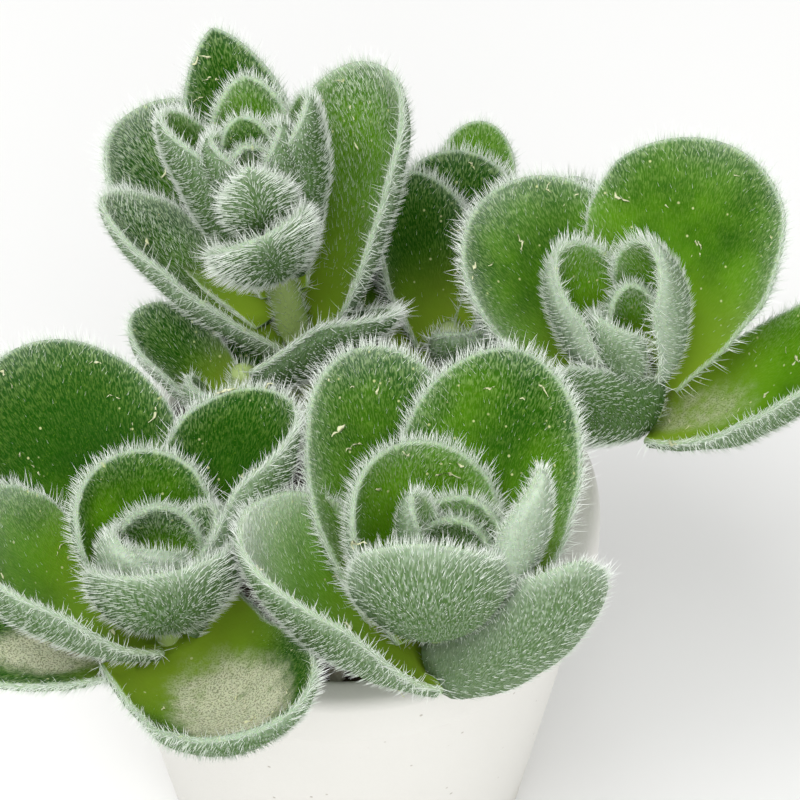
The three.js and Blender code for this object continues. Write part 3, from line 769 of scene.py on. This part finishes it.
def leaf_form(rosette, spec, look, draw):
    """One leaf as closed sections from root to tip: its points in millimetres, its faces, and for
    each point of a section how far along it is, half the width there, the directions along and
    across, its place across from -1 to 1, and its share of the upper face and of the margin"""
    large = is_large(spec)
    rows = look.rows if large else look.rows * 2 // 3
    columns = look.columns if large else look.columns * 3 // 4 // 2 * 2
    edge = look.edge / MM
    s = 1 - (1 - np.arange(rows) / rows) ** TIP_CROWDING
    v = np.sin(np.linspace(-1, 1, columns + 1) * math.pi / 2)
    points, along, up, across = midrib(rosette, spec, s)
    waver = sum((size * np.sin(s * pace + draw.uniform(0, 6)) for size, pace in WAVER), 1)
    share = half_width(s, spec)
    half = spec.width / 2 * share * waver
    curl = spec.width / 2 / math.radians(spec.cup)
    turn = v * half[:, None] / curl
    cos, sin = np.cos(turn)[..., None], np.sin(turn)[..., None]
    normal = up[:, None] * cos - across[:, None] * sin
    face = points[:, None] + across[:, None] * curl * sin + up[:, None] * curl * (1 - cos)
    wave = ripples(s, v, spec.length, draw) * look.ripple / MM * np.sqrt(share)[:, None]
    face = face + normal * wave[..., None]
    crown = np.sqrt(np.clip(1 - v ** 2, 0, 1))
    fullness = (1 - TIP_THINNING * s ** 2.5)[:, None] * crown * np.sqrt(share)[:, None]
    depth = edge + (look.thickness / MM - edge) * fullness
    under = face - normal * depth[..., None]

    margins = []
    for side, column in ((1, -1), (-1, 0)):
        rim, off = face[:, column], normal[:, column]
        outward = side * unit(np.cross(np.gradient(rim, axis=0), off))
        margins.append([
            rim + outward * edge / 2 * math.sin(bend) - off * edge / 2 * (1 - math.cos(bend))
            for bend in np.radians(RIM_BENDS)
        ])
    right, left = margins
    loops = np.concatenate(
        [face, np.stack(right, 1), under[:, ::-1], np.stack(left[::-1], 1)], axis=1
    )
    tip, tip_along, tip_up, _ = midrib(rosette, spec, np.array([1.0]))
    nose = tip[0] + tip_along[0] * edge / 2 - tip_up[0] * edge / 2
    root = (face[0, columns // 2] + under[0, columns // 2]) / 2
    verts, faces = capped(loops, (rows - 1, nose), (0, root))

    # a section runs over the upper face, round one margin, back under the leaf and up the other
    no, yes, edges = np.zeros(columns + 1), np.ones(columns + 1), np.ones(3)
    sections = (
        np.concatenate([v, edges, v[::-1], -edges]),
        np.concatenate([yes, [0.75, 0.5, 0.25], no, [0.25, 0.5, 0.75]]),
        np.concatenate([no, edges, no, edges]),
    )
    grid = [np.repeat(values[:, None], loops.shape[1], 1) for values in (s, half, along, across)]
    grid += [np.repeat(values[None], rows, 0) for values in sections]
    return verts, faces, grid, tip_along[0]


def leaf_values(rosette, spec, hairs, draw, young, grid, tip_along):
    """What the surface and the hairs of a leaf read at each of its points"""
    s, half, along, across, v, upper, rim = grid
    on_top = upper > 0.5
    on_rim = rim > 0
    coat = rosette.coat * spec.coat * (YOUNG_COAT if young else 1)
    thick = max(coat - BARE_COAT, 0)
    to_tip = (1 - s) * spec.length
    from_rim = np.minimum((1 - np.abs(v)) * half, to_tip * 0.8)
    near = np.exp(-from_rim / RIM_NEAR)
    broad = np.exp(-from_rim / RIM_BROAD)
    outer = np.clip((s - (YOUNG_BARE_ROOT if young else BARE_ROOT)) / ROOT_FADE, 0, 1)
    to_side = (1 - np.sign(spec.frost) * v) * half
    frost = abs(spec.frost) * np.exp(-np.minimum(to_side, to_tip) / FROST_REACH)

    upper_density = outer * (thick + (0.7 + 0.8 * coat) * near + frost)
    lower_density = (1.3 if young else 1.0) * (0.55 + 0.45 * outer) * (1 + 0.9 * spec.bold)
    down = np.where(on_top, upper_density * hairs.upper_density, lower_density * hairs.lower_density)
    down = np.where(on_rim, hairs.lower_density * RIM_CROWDING, down)
    rim_hairs = rim * hairs.margin_density * (0.35 + 0.65 * np.clip(s / 0.3, 0, 1))
    length = np.where(on_top, 0.35 + 0.3 * min(coat, 1.4) + 0.25 * near, 1 + 0.25 * spec.bold)
    if spec.width < SMALL_LEAF:
        length = length * 0.8

    silver = np.where(
        on_top,
        outer * (0.35 * near * min(1, coat + 0.3) + 0.12 * thick * broad + frost),
        (0.03 + spec.pale + 0.35 * near + 0.05 * broad * outer) * (1 - 0.3 * spec.bold),
    )
    silver = np.where(on_rim, RIM_SILVER, silver)
    fuzz = np.where(
        on_top,
        np.clip(outer * (0.06 + 0.4 * thick + (0.45 + 0.3 * coat) * broad + frost), 0, 0.9),
        0.35 * (1 - 0.4 * spec.bold),
    )
    dusty = np.clip(1.6 - 1.35 * np.hypot((s - spec.dust_at) / 0.46, v / 0.85), 0, 1)

    # hairs lie towards the tip and the nearer margin, and on the margin towards the tip alone
    sideways = across * v[..., None]
    straight = along * (1 - 0.3 * np.abs(v[..., None])) * (1 - 0.35 * spec.bold)
    grain = np.where(
        on_top[..., None],
        along * 0.55 + sideways * 0.95,
        straight + sideways * (0.65 + 0.6 * spec.bold),
    )
    grain = unit(np.where(on_rim[..., None], along + 0.001 * across, grain))
    ahead = np.maximum(s * spec.length + 2, 0.5)
    aside = v * half
    rays = [np.arctan2(aside, ahead) * spec.length * RAY_REACH, np.hypot(aside, ahead)]
    # Young leaves get 0.4 more as painted light in the shaded hearts; the rosette and leaf values carry
    # painted shade and light, and chance adds a little
    tone = rosette.tone + spec.tone + 0.4 * young + draw.uniform(-0.08, 0.08)

    def points_of(values, ends):
        return np.concatenate([values.reshape(-1, *values.shape[2:]), np.array(ends)])

    return {
        "upper": points_of(upper, (0.5, 0)),
        "along": points_of(s, (1, 0)),
        "silver": points_of(silver, (0.75, 0)),
        "fuzz": points_of(fuzz, (0.75, 0)),
        "dust": points_of(spec.dust * dusty * (upper > 0.6), (0, 0)),
        "tone": points_of(np.full_like(s, tone), (tone, tone)),
        "down": points_of(down, (hairs.lower_density, 0)),
        "rim": points_of(rim_hairs, (hairs.margin_density, 0)),
        "reach": points_of(length, (1, 1)),
        "bold": points_of(spec.bold * (1 - upper), (0, spec.bold)),
        "scuff": points_of(is_large(spec) * ((upper > 0.9) & (from_rim > RIM_NEAR)), (0, 0)),
        "grain": points_of(grain, (tip_along, along[0, 0])),
        "blade": points_of(np.stack([aside, s * spec.length], -1), ((0, spec.length), (0, 0)))
        + draw.uniform(0, 400, 2),
        "rays": points_of(np.stack(rays, -1), ((0, spec.length + 2), (0, 2)))
        + draw.uniform(0, 400, 2),
    }


def make_mesh(name, points, faces):
    mesh = bpy.data.meshes.new(name)
    mesh.from_pydata([tuple(p) for p in points], [], faces)
    mesh.validate()
    mesh.polygons.foreach_set("use_smooth", [True] * len(mesh.polygons))
    return mesh


def add_object(name, data):
    """An object at the origin with that mesh, camera or light"""
    thing = bpy.data.objects.new(name, data)
    bpy.context.scene.collection.objects.link(thing)
    return thing


def add_piece(name, mesh, material):
    mesh.materials.clear()
    mesh.materials.append(material)
    return add_object(name, mesh)


def settle(piece, slot, *nodes):
    """The piece rides on the plant's one body and stands for the given solids"""
    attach(piece, "root")
    if nodes:
        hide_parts(*nodes)
    return piece


def leaves_piece(name, rosette, specs, material, look, hairs, seed, young):
    """All the leaves of a rosette or of its heart in one mesh, with their attributes"""
    draw = np.random.default_rng(seed)
    points, faces, data = [], [], {}
    for spec in specs:
        verts, quads, grid, tip_along = leaf_form(rosette, spec, look, draw)
        shift = sum(len(p) for p in points)
        points.append(verts * MM)
        faces += [tuple(i + shift for i in face) for face in quads]
        for key, values in leaf_values(rosette, spec, hairs, draw, young, grid, tip_along).items():
            data.setdefault(key, []).append(values)
    mesh = make_mesh(name, np.vstack(points), faces)
    add_attributes(mesh, {key: np.concatenate(parts) for key, parts in data.items()})
    return add_piece(name, mesh, material)


def add_attributes(mesh, data):
    """What the surface and the hairs read: a value, a direction or a place on the flat leaf"""
    for key, values in data.items():
        values = values.astype(np.float32)
        if key in ("blade", "rays"):
            corner = np.zeros(len(mesh.loops), np.int32)
            mesh.loops.foreach_get("vertex_index", corner)
            mesh.uv_layers.new(name=key)
            mesh.uv_layers[key].data.foreach_set("uv", (values[corner] / UV_TILE).ravel())
        elif key == "grain":
            directions = mesh.attributes.new(key, "FLOAT_VECTOR", "POINT")
            directions.data.foreach_set("vector", values.ravel())
        else:
            mesh.attributes.new(key, "FLOAT", "POINT").data.foreach_set("value", values)


class GeometryTree(Tree):
    """A Geometry Nodes tree with named inputs."""

    def __init__(self, name, inputs):
        super().__init__(bpy.data.node_groups.new(name, "GeometryNodeTree"))
        face = self.group.interface
        face.new_socket("Geometry", in_out="OUTPUT", socket_type="NodeSocketGeometry")
        face.new_socket("Geometry", in_out="INPUT", socket_type="NodeSocketGeometry")
        self.identifiers = {}
        for label, kind in inputs.items():
            item = face.new_socket(label, in_out="INPUT", socket_type=f"NodeSocket{kind}")
            self.identifiers[label] = item.identifier
        self.source = self.node("NodeGroupInput")

    def given(self, label):
        return self.source[label]

    def named(self, name, kind="FLOAT"):
        inputs = {"Name": name}
        return self.node("GeometryNodeInputNamedAttribute", {"data_type": kind}, inputs)["Attribute"]

    def random(self, low, high, seed):
        """A random number, or a vector where the limits are vectors."""
        kind = "FLOAT_VECTOR" if isinstance(low, tuple) else "FLOAT"
        inputs = {"Min": low, "Max": high, "Seed": seed}
        return self.node("FunctionNodeRandomValue", {"data_type": kind}, inputs)["Value"]

    def position(self):
        return self.node("GeometryNodeInputPosition")

    def xyz(self, x, y, z):
        return self.node("ShaderNodeCombineXYZ", None, {"X": x, "Y": y, "Z": z})

    def scatter(self, density, seed):
        """Points on the faces of the source, with another output for the normal at each."""
        return self.node(
            "GeometryNodeDistributePointsOnFaces", {"distribute_method": "RANDOM"},
            {"Mesh": self.given("Geometry"), "Density": density, "Seed": seed},
        )

    def turned(self, up, ahead):
        """A rotation with Z along one vector and X as near the other as that allows."""
        raised = self.node("FunctionNodeAlignRotationToVector", {"axis": "Z"}, {"Vector": up})
        return self.node(
            "FunctionNodeAlignRotationToVector", {"axis": "X", "pivot_axis": "Z"},
            {"Rotation": raised, "Vector": ahead},
        )

    def instances(self, points, shape, rotation, scale):
        inputs = {"Points": points, "Instance": shape, "Rotation": rotation, "Scale": scale}
        return self.node("GeometryNodeInstanceOnPoints", None, inputs)

    def stored(self, geometry, name, value, domain):
        return self.node(
            "GeometryNodeStoreNamedAttribute", {"data_type": "FLOAT", "domain": domain},
            {"Geometry": geometry, "Name": name, "Value": value},
        )

    def moved(self, geometry, offset):
        inputs = {"Geometry": geometry, "Offset": offset}
        return self.node("GeometryNodeSetPosition", None, inputs)

    def real(self, geometry):
        return self.node("GeometryNodeRealizeInstances", None, {"Geometry": geometry})

    def finish(self, *parts):
        """Joins the parts, makes their instances real and gives them the material."""
        joined = self.node("GeometryNodeJoinGeometry")
        for part in parts:
            self.group.links.new(part.socket, joined.node.inputs[0])
        inputs = {"Geometry": self.real(joined), "Material": self.given("Material")}
        painted = self.node("GeometryNodeSetMaterial", None, inputs)
        self.node("NodeGroupOutput", None, {"Geometry": painted})
        return self

    def grow(self, name, source, values):
        """A plain mesh object: what the tree makes of the source's mesh with these inputs."""
        maker = add_object(f"{name}_maker", source.data)
        modifier = maker.modifiers.new("maker", "NODES")
        modifier.node_group = self.group
        for label, value in values.items():
            modifier[self.identifiers[label]] = value
        bpy.context.view_layer.update()
        evaluated = maker.evaluated_get(bpy.context.evaluated_depsgraph_get())
        mesh = bpy.data.meshes.new_from_object(evaluated)
        mesh.name = name
        bpy.data.objects.remove(maker)
        return add_object(name, mesh)


def hair_shape(tree, segments, bend):
    """A thin three-sided cone, a unit long, that bends over along X"""
    cone = tree.node("GeometryNodeMeshCone", {"fill_type": "NGON"}, {
        "Vertices": HAIR_SIDES, "Side Segments": segments, "Radius Top": 0.0,
        "Radius Bottom": 0.5, "Depth": 1.0,
    })
    rise = tree.height(tree.position())
    marked = tree.stored(cone, "rise", rise, "POINT")
    return tree.moved(marked, tree.xyz(rise * rise * bend, 0.0, 0.0))


def hair_branch(tree, mask, length, width, stand, lean, scatter, bend, segments, seed):
    """Hairs on the faces that mask names: each leans from the normal along the grain"""
    points = tree.scatter(tree.named(mask) * (1 / MM ** 2), tree.given("Seed") + seed)
    grain = tree.named("grain", "FLOAT_VECTOR")
    stray = tree.random(*ALL_WAYS, seed + 1)
    way = tree.vector("SCALE", points["Normal"], stand)
    way = tree.vector("ADD", way, tree.vector("SCALE", grain, lean))
    way = tree.vector("ADD", way, tree.vector("SCALE", stray, scatter))
    curl = tree.vector("ADD", grain, tree.vector("SCALE", stray, STRAY_CURL))
    tall = tree.random(*HAIR_SPREAD, seed + 2) * tree.named("reach") * length
    slim = width * (1 - UPPER_SLIM * tree.named("upper") + BOLD_WIDE * tree.named("bold"))
    spread = tree.instances(
        points, hair_shape(tree, segments, bend), tree.turned(way, curl), tree.xyz(slim, slim, tall)
    )
    return tree.stored(spread, "tint", tree.random(0.0, 1.0, seed + 3), "INSTANCE")


def coat_tree():
    """The woolly coat of a leaf: down on its faces and longer hairs on its margin"""
    tree = GeometryTree("woolly coat", {
        "Down length": "Float", "Down width": "Float", "Margin length": "Float",
        "Margin width": "Float", "Stand": "Float", "Seed": "Int", "Material": "Material",
    })
    down = hair_branch(
        tree, "down", tree.given("Down length"), tree.given("Down width"), tree.given("Stand"),
        lean=1.0, scatter=0.09, bend=0.0, segments=1, seed=10,
    )
    margin = hair_branch(
        tree, "rim", tree.given("Margin length"), tree.given("Margin width"), 1.0,
        lean=0.45, scatter=0.28, bend=2.2, segments=2, seed=20,
    )
    return tree.finish(down, margin)


def scuff_shape(tree):
    """An arc about a unit long, thickest in its middle"""
    arc = tree.node("GeometryNodeCurveArc", None, {
        "Resolution": 11, "Radius": 0.6, "Start Angle": 0.0, "Sweep Angle": math.radians(70),
    })
    section = tree.node(
        "GeometryNodeCurvePrimitiveCircle", None, {"Resolution": 4, "Radius": 0.032}
    )
    where = tree.node("GeometryNodeSplineParameter")["Factor"]
    swell = 4 * where * (1 - where) + 0.15
    drawn = tree.node("GeometryNodeSetCurveRadius", None, {"Curve": arc, "Radius": swell})
    return tree.node("GeometryNodeCurveToMesh", None, {
        "Curve": drawn, "Profile Curve": section, "Fill Caps": True, "Scale": swell,
    })


def scuff_tree():
    """Thin curved corky marks, scattered flat on the upper faces"""
    tree = GeometryTree("corky scuffs", {
        "Density": "Float", "Length": "Float", "Seed": "Int", "Material": "Material",
    })
    points = tree.scatter(tree.named("scuff") * tree.given("Density"), tree.given("Seed"))
    size = tree.random(0.35, 1.2, 6) * tree.given("Length")
    spread = tree.instances(
        points, scuff_shape(tree), tree.turned(points["Normal"], tree.random(*ALL_WAYS, 5)),
        tree.xyz(size, size, size * 0.6),
    )
    wander = tree.node(
        "ShaderNodeTexNoise", None, {"Vector": tree.position(), "Scale": 1.5 / MM, "Detail": 2.0}
    )
    offset = tree.vector("SUBTRACT", wander["Color"], (0.5, 0.5, 0.5))
    offset = tree.vector("SCALE", offset, SCUFF_WANDER * MM)
    return tree.finish(tree.moved(tree.real(spread), offset))


def grain_tree():
    """Grains of grit and bark, half sunk in the top of the soil"""
    tree = GeometryTree("grit", {
        "Density": "Float", "Size": "Float", "Seed": "Int", "Material": "Material",
    })
    level = tree.height(tree.node("GeometryNodeInputNormal"))
    points = tree.scatter(level.between(0.4, 0.6) * tree.given("Density"), tree.given("Seed"))
    ball = tree.node("GeometryNodeMeshIcoSphere", None, {"Radius": 0.5, "Subdivisions": 1})
    turn = tree.random((0, 0, 0), (6.28, 6.28, 6.28), 2)
    size = (tree.random(0.0, 1.0, 3) ** 3 * 1.7 + 0.45) * tree.given("Size")
    flat = tree.random((0.7, 0.6, 0.4), (1.2, 1.0, 0.9), 4)
    spread = tree.instances(points, ball, turn, tree.vector("SCALE", flat, size))
    return tree.finish(tree.stored(spread, "tint", tree.random(0.0, 1.0, 7), "INSTANCE"))


def swept(path, radii, sides):
    """A round tube through the points with a radius at each of them, closed at both ends"""
    tangents = unit(np.gradient(path, axis=0))
    side = unit(np.array([1.0, 0, 0]) - tangents[0] * tangents[0][0])
    rings = []
    turn = np.linspace(0, 2 * math.pi, sides, endpoint=False)[:, None]
    for point, tangent, radius in zip(path, tangents, radii):
        side = unit(side - tangent * side.dot(tangent))
        other = np.cross(tangent, side)
        rings.append(point + radius * (side * np.cos(turn) + other * np.sin(turn)))
    return capped(rings, (0, path[0]), (len(path) - 1, path[-1]))


def stem_mesh(name, rosette, hairs, draw):
    """The stem from its buried foot to the bud at the heart of the rosette"""
    axis, _, _ = axes_of(*rosette.lean)
    base = np.array(rosette.at, float)
    foot = np.array([*rosette.root, STEM_FOOT_Z], float)
    crown = np.array([*rosette.root, STEM_STRAIGHT_Z], float)
    handle = crown.copy()
    handle[2] += min(STEM_RISE, (base[2] - crown[2]) * STEM_RISE_SHARE)
    arrive = base - axis * STEM_ARRIVE
    t = np.linspace(0, 1, BEND_STEPS + 1)[:, None]
    bend = (
        (1 - t) ** 3 * crown + 3 * (1 - t) ** 2 * t * handle
        + 3 * (1 - t) * t ** 2 * arrive + t ** 3 * base
    )
    highest = max(spec.h for spec in (*rosette.leaves, *rosette.heart))
    rise = np.linspace(0, highest + TOP_BUD, TOP_STEPS + 1)[1:, None]
    path = np.vstack([np.linspace(foot, crown, FOOT_STEPS + 1)[:-1], bend, base + axis * rise])
    gone = np.cumsum(np.r_[0, np.linalg.norm(np.diff(path, axis=0), axis=1)])
    radii = np.full(len(path), float(rosette.stem))
    radii[:FOOT_STEPS + 1] *= STEM_SWELL
    radii *= 1 + 0.05 * np.sin(gone * 2.1 + draw.uniform(0, 6)) + 0.02 * np.sin(gone * 5)
    radii[-TOP_STEPS:] *= np.linspace(1, STEM_TAPER, TOP_STEPS)
    radii[-1] *= 0.4
    points, faces = swept(path * MM, radii * MM, STEM_SIDES)
    mesh = make_mesh(name, points, faces)
    way = unit(np.gradient(path, axis=0))
    woolly = np.clip((points[:, 2] / MM - WOOL_FROM_Z) / WOOL_FADE, 0, 1)
    none = np.zeros(len(points))
    add_attributes(mesh, {
        "down": woolly * hairs.lower_density, "rim": none, "reach": woolly, "upper": none,
        "grain": np.vstack([np.repeat(way, STEM_SIDES, axis=0), way[0], way[-1]]),
    })
    return mesh


def rounded(corners):
    """An outline with an arc at each corner that has a radius: corners are (r, z, radius)"""
    outline = []
    for i, (r, z, radius) in enumerate(corners):
        here = np.array([r, z])
        if not radius:
            outline.append(here)
            continue
        before = unit(np.array(corners[i - 1][:2]) - here)
        after = unit(np.array(corners[i + 1][:2]) - here)
        half = math.acos(np.clip(before.dot(after), -1, 1)) / 2
        reach = radius / math.tan(half)
        start, end = here + before * reach, here + after * reach
        centre = here + unit(before + after) * radius / math.sin(half)
        for t in np.linspace(0, 1, CORNER_STEPS):
            chord = start * (1 - t) + end * t - centre
            outline.append(centre + unit(chord) * radius)
    return outline


def lathed(outline, sides):
    """A closed surface of revolution: the outline starts and ends on the axis"""
    turn = np.linspace(0, 2 * math.pi, sides, endpoint=False)
    rings = [
        np.stack([r * np.cos(turn), r * np.sin(turn), np.full(sides, z)], -1)
        for r, z in outline[1:-1]
    ]
    first, last = ([0, 0, outline[end][1]] for end in (0, -1))
    return capped(rings, (0, first), (len(rings) - 1, last))


def inner_radius(look, z):
    """Inner radius of the pot's wall at a height, in metres"""
    rim = POT_RADIUS - look.lip_proud
    lip_z = POT_HEIGHT - look.lip_height
    return look.base_radius + (rim - look.base_radius) * z / lip_z - look.wall


class PLANT_OT_stage(Operator):
    """Camera at the photograph's angle, a pale floor and soft light"""

    bl_idname = "plant.stage"
    bl_label = "Stage"

    def execute(self, context):
        look = context.scene.plant_stage
        scene = context.scene
        scene.view_settings.view_transform = "Standard"
        target = Vector(look.target)
        back = Vector((0, -math.cos(look.elevation), math.sin(look.elevation)))
        lens = bpy.data.cameras.new("camera")
        lens.lens = look.lens
        lens.clip_start = 10 * MM
        camera = add_object("camera", lens)
        camera.location = target + back * look.distance
        camera.rotation_euler = (math.pi / 2 - look.elevation, 0, 0)
        scene.camera = camera

        world = bpy.data.worlds.new("studio")
        world.use_nodes = True
        tree = Tree(world.node_tree)
        inputs = {"Color": (1, 1, 1), "Strength": look.sky}
        sky = tree.node("ShaderNodeBackground", None, inputs)
        tree.node("ShaderNodeOutputWorld", None, {"Surface": sky})
        scene.world = world

        for name, at, size, power in (
            ("key", (-0.20, -0.16, 0.66), 0.5, look.key),
            ("fill", (0.14, -0.62, 0.60), 0.8, look.fill),
        ):
            light = bpy.data.lights.new(name, "AREA")
            light.shape = "DISK"
            light.size = size
            light.energy = power
            lamp = add_object(name, light)
            lamp.location = at
            lamp.rotation_euler = (target - Vector(at)).to_track_quat("-Z", "Y").to_euler()

        far = look.floor_half
        corners = [(-far, -far, 0), (far, -far, 0), (far, far, 0), (-far, far, 0)]
        mesh = make_mesh("floor", corners, [(0, 1, 2, 3)])
        add_piece("floor", mesh, floor_surface(look))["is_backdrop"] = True
        return {"FINISHED"}


class PLANT_OT_pot(Operator):
    """The fired clay pot with its lip and drain holes"""

    bl_idname = "plant.pot"
    bl_label = "Pot"

    def execute(self, context):
        look = context.scene.plant_pot
        lip_z = POT_HEIGHT - look.lip_height
        inside = POT_RADIUS - look.lip_proud - look.wall
        corners = [
            (0, 0, 0),
            (look.base_radius, 0, 0.9 * MM),
            (POT_RADIUS - look.lip_proud, lip_z - look.lip_proud, 0.6 * MM),
            (POT_RADIUS, lip_z, 0.7 * MM),
            (POT_RADIUS, POT_HEIGHT, 1.2 * MM),
            (inside, POT_HEIGHT, 1.2 * MM),
            (inside, lip_z, 0),
            (inner_radius(look, look.wall), look.wall, 2 * MM),
            (0, look.wall, 0),
        ]
        points, faces = lathed(rounded(corners), look.sides)
        pot = add_piece("clay_pot", make_mesh("clay_pot", points, faces), pot_surface(look))
        for k in range(DRAIN_HOLES):
            turn = 2 * math.pi * (k + 0.5) / DRAIN_HOLES
            bpy.ops.mesh.primitive_cylinder_add(
                vertices=DRAIN_SIDES, radius=look.drain_radius, depth=4 * look.wall,
                location=(look.drain_circle * math.cos(turn), look.drain_circle * math.sin(turn), 0),
            )
            drill = context.active_object
            cut = pot.modifiers.new("drain", "BOOLEAN")
            cut.operation = "DIFFERENCE"
            cut.solver = "EXACT"
            cut.object = drill
            context.view_layer.objects.active = pot
            bpy.ops.object.modifier_apply(modifier=cut.name)
            bpy.data.objects.remove(drill)
        settle(pot, "pot", "pot")
        return {"FINISHED"}


def uneven(points):
    """How much higher or lower the soil is at each point: waves that run in random directions"""
    draw = np.random.default_rng(SOIL_SEED)
    lift = np.zeros(len(points))
    for pace in CLOD_PACES:
        for _ in range(CLOD_WAVES):
            direction = draw.uniform(-1, 1, 2) * pace
            wave = np.sin(points[:, :2] @ direction + draw.uniform(0, 6))
            lift += wave * CLOD_SLOPE / np.linalg.norm(direction)
    return lift


class PLANT_OT_soil(Operator):
    """The soil and the grains on it"""

    bl_idname = "plant.soil"
    bl_label = "Soil"

    def execute(self, context):
        look = context.scene.plant_pot
        edge = POT_RADIUS - look.lip_proud - look.wall - SOIL_GAP * MM
        foot = inner_radius(look, look.wall) - SOIL_FOOT_GAP * MM
        outline = [(0, SOIL_FLOOR), (foot, SOIL_FLOOR), (edge, SOIL_WALL_Z * MM)]
        for r in edge * np.linspace(1, 0, SOIL_RINGS + 1):
            outline.append((r, (SOIL_EDGE_Z + SOIL_MOUND * (1 - (r / edge) ** 2)) * MM))
        points, faces = lathed(outline, SOIL_SIDES)
        top = points[:, 2] > SOIL_ROUGH_Z * MM
        points[top, 2] += uneven(points)[top]
        soil = add_piece("soil_mix", make_mesh("soil_mix", points, faces), soil_surface(look))
        grains = grain_tree().grow("soil_grains", soil, {
            "Density": look.grain_density / MM ** 2, "Size": look.grain_size,
            "Seed": GRAIN_SEED, "Material": grain_surface(look),
        })
        settle(soil, "soil", "soil")
        settle(grains, "soil")
        return {"FINISHED"}


def grow_wool(coat, name, piece, hairs, stand, seed):
    """The hairs of a piece, as one more piece"""
    wool = coat.grow(name, piece, {
        "Down length": hairs.down_length, "Down width": hairs.down_width,
        "Margin length": hairs.margin_length, "Margin width": hairs.margin_width,
        "Stand": stand, "Seed": seed,
        "Material": bpy.data.materials.get("leaf_hair") or hair_surface(hairs),
    })
    settle(wool, "hair")


class PLANT_OT_stems(Operator):
    """The stems from the soil to the hearts"""

    bl_idname = "plant.stems"
    bl_label = "Stems"

    def execute(self, context):
        skin = stem_surface(context.scene.plant_pot)
        hairs = context.scene.plant_hairs
        coat = coat_tree()
        draw = np.random.default_rng(STEM_SEED)
        for number, (name, rosette) in enumerate(ROSETTES.items()):
            stem = add_piece(f"stem_{name}", stem_mesh(f"stem_{name}", rosette, hairs, draw), skin)
            settle(stem, "stem")
            seed = STEM_WOOL_SEED + number
            grow_wool(coat, f"hairs_stem_{name}", stem, hairs, STEM_STAND, seed)
        return {"FINISHED"}


class PLANT_OT_leaves(Operator):
    """The leaves with their hairs and scuffs"""

    bl_idname = "plant.leaves"
    bl_label = "Leaves"

    def execute(self, context):
        look = context.scene.plant_leaves
        hairs = context.scene.plant_hairs
        grown = leaf_surface("leaf_skin", look, 0.0)
        young = leaf_surface("young_leaf_skin", look, 0.08)
        kinds = (
            ("leaves", grown, "leaf", "rosette", LEAF_STAND),
            ("heart", young, "young_leaf", "heart", HEART_STAND),
        )
        coat = coat_tree()
        scuffs = scuff_tree()
        cork = scuff_surface(look)
        for number, (name, rosette) in enumerate(ROSETTES.items()):
            for kind, skin, slot, node, stand in kinds:
                specs = getattr(rosette, kind)
                if not specs:
                    continue
                piece = leaves_piece(
                    f"{kind}_{name}_fine", rosette, specs, skin, look, hairs,
                    LEAF_SEED + number, kind == "heart",
                )
                settle(piece, slot, f"{node}_{name}")
                seed = WOOL_SEED + number
                grow_wool(coat, f"hairs_{kind}_{name}", piece, hairs, stand, seed)
                if any(is_large(spec) for spec in specs):
                    marks = scuffs.grow(f"scuffs_{kind}_{name}", piece, {
                        "Density": SCUFF_DENSITY / MM ** 2, "Length": SCUFF_LENGTH * MM,
                        "Seed": SCUFF_SEED + number, "Material": cork,
                    })
                    settle(marks, "leaf")
        return {"FINISHED"}


class PLANT_PT_panel(Panel):
    """Lists the steps in the order in which they build the plant"""

    bl_idname = "PLANT_PT_panel"
    bl_label = "Potted woolly succulent"
    bl_space_type = "VIEW_3D"
    bl_region_type = "UI"
    bl_category = "Plant"

    def draw(self, context):
        for step in STEPS:
            self.layout.operator(step.bl_idname)


STEPS = (PLANT_OT_stage, PLANT_OT_pot, PLANT_OT_soil, PLANT_OT_stems, PLANT_OT_leaves)
SETTINGS = {
    "plant_leaves": LeafSettings,
    "plant_hairs": HairSettings,
    "plant_pot": PotSettings,
    "plant_stage": StageSettings,
}


def register():
    for part in (*SETTINGS.values(), *STEPS, PLANT_PT_panel):
        bpy.utils.register_class(part)
    for name, group in SETTINGS.items():
        setattr(bpy.types.Scene, name, PointerProperty(type=group))


def unregister():
    for name in SETTINGS:
        delattr(bpy.types.Scene, name)
    for part in reversed((*SETTINGS.values(), *STEPS, PLANT_PT_panel)):
        bpy.utils.unregister_class(part)


def main():
    register()
    bpy.ops.plant.stage()
    bpy.ops.plant.pot()
    bpy.ops.plant.soil()
    bpy.ops.plant.stems()
    bpy.ops.plant.leaves()
    visual = [list(corner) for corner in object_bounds()]


if __name__ == "__main__":
    main()
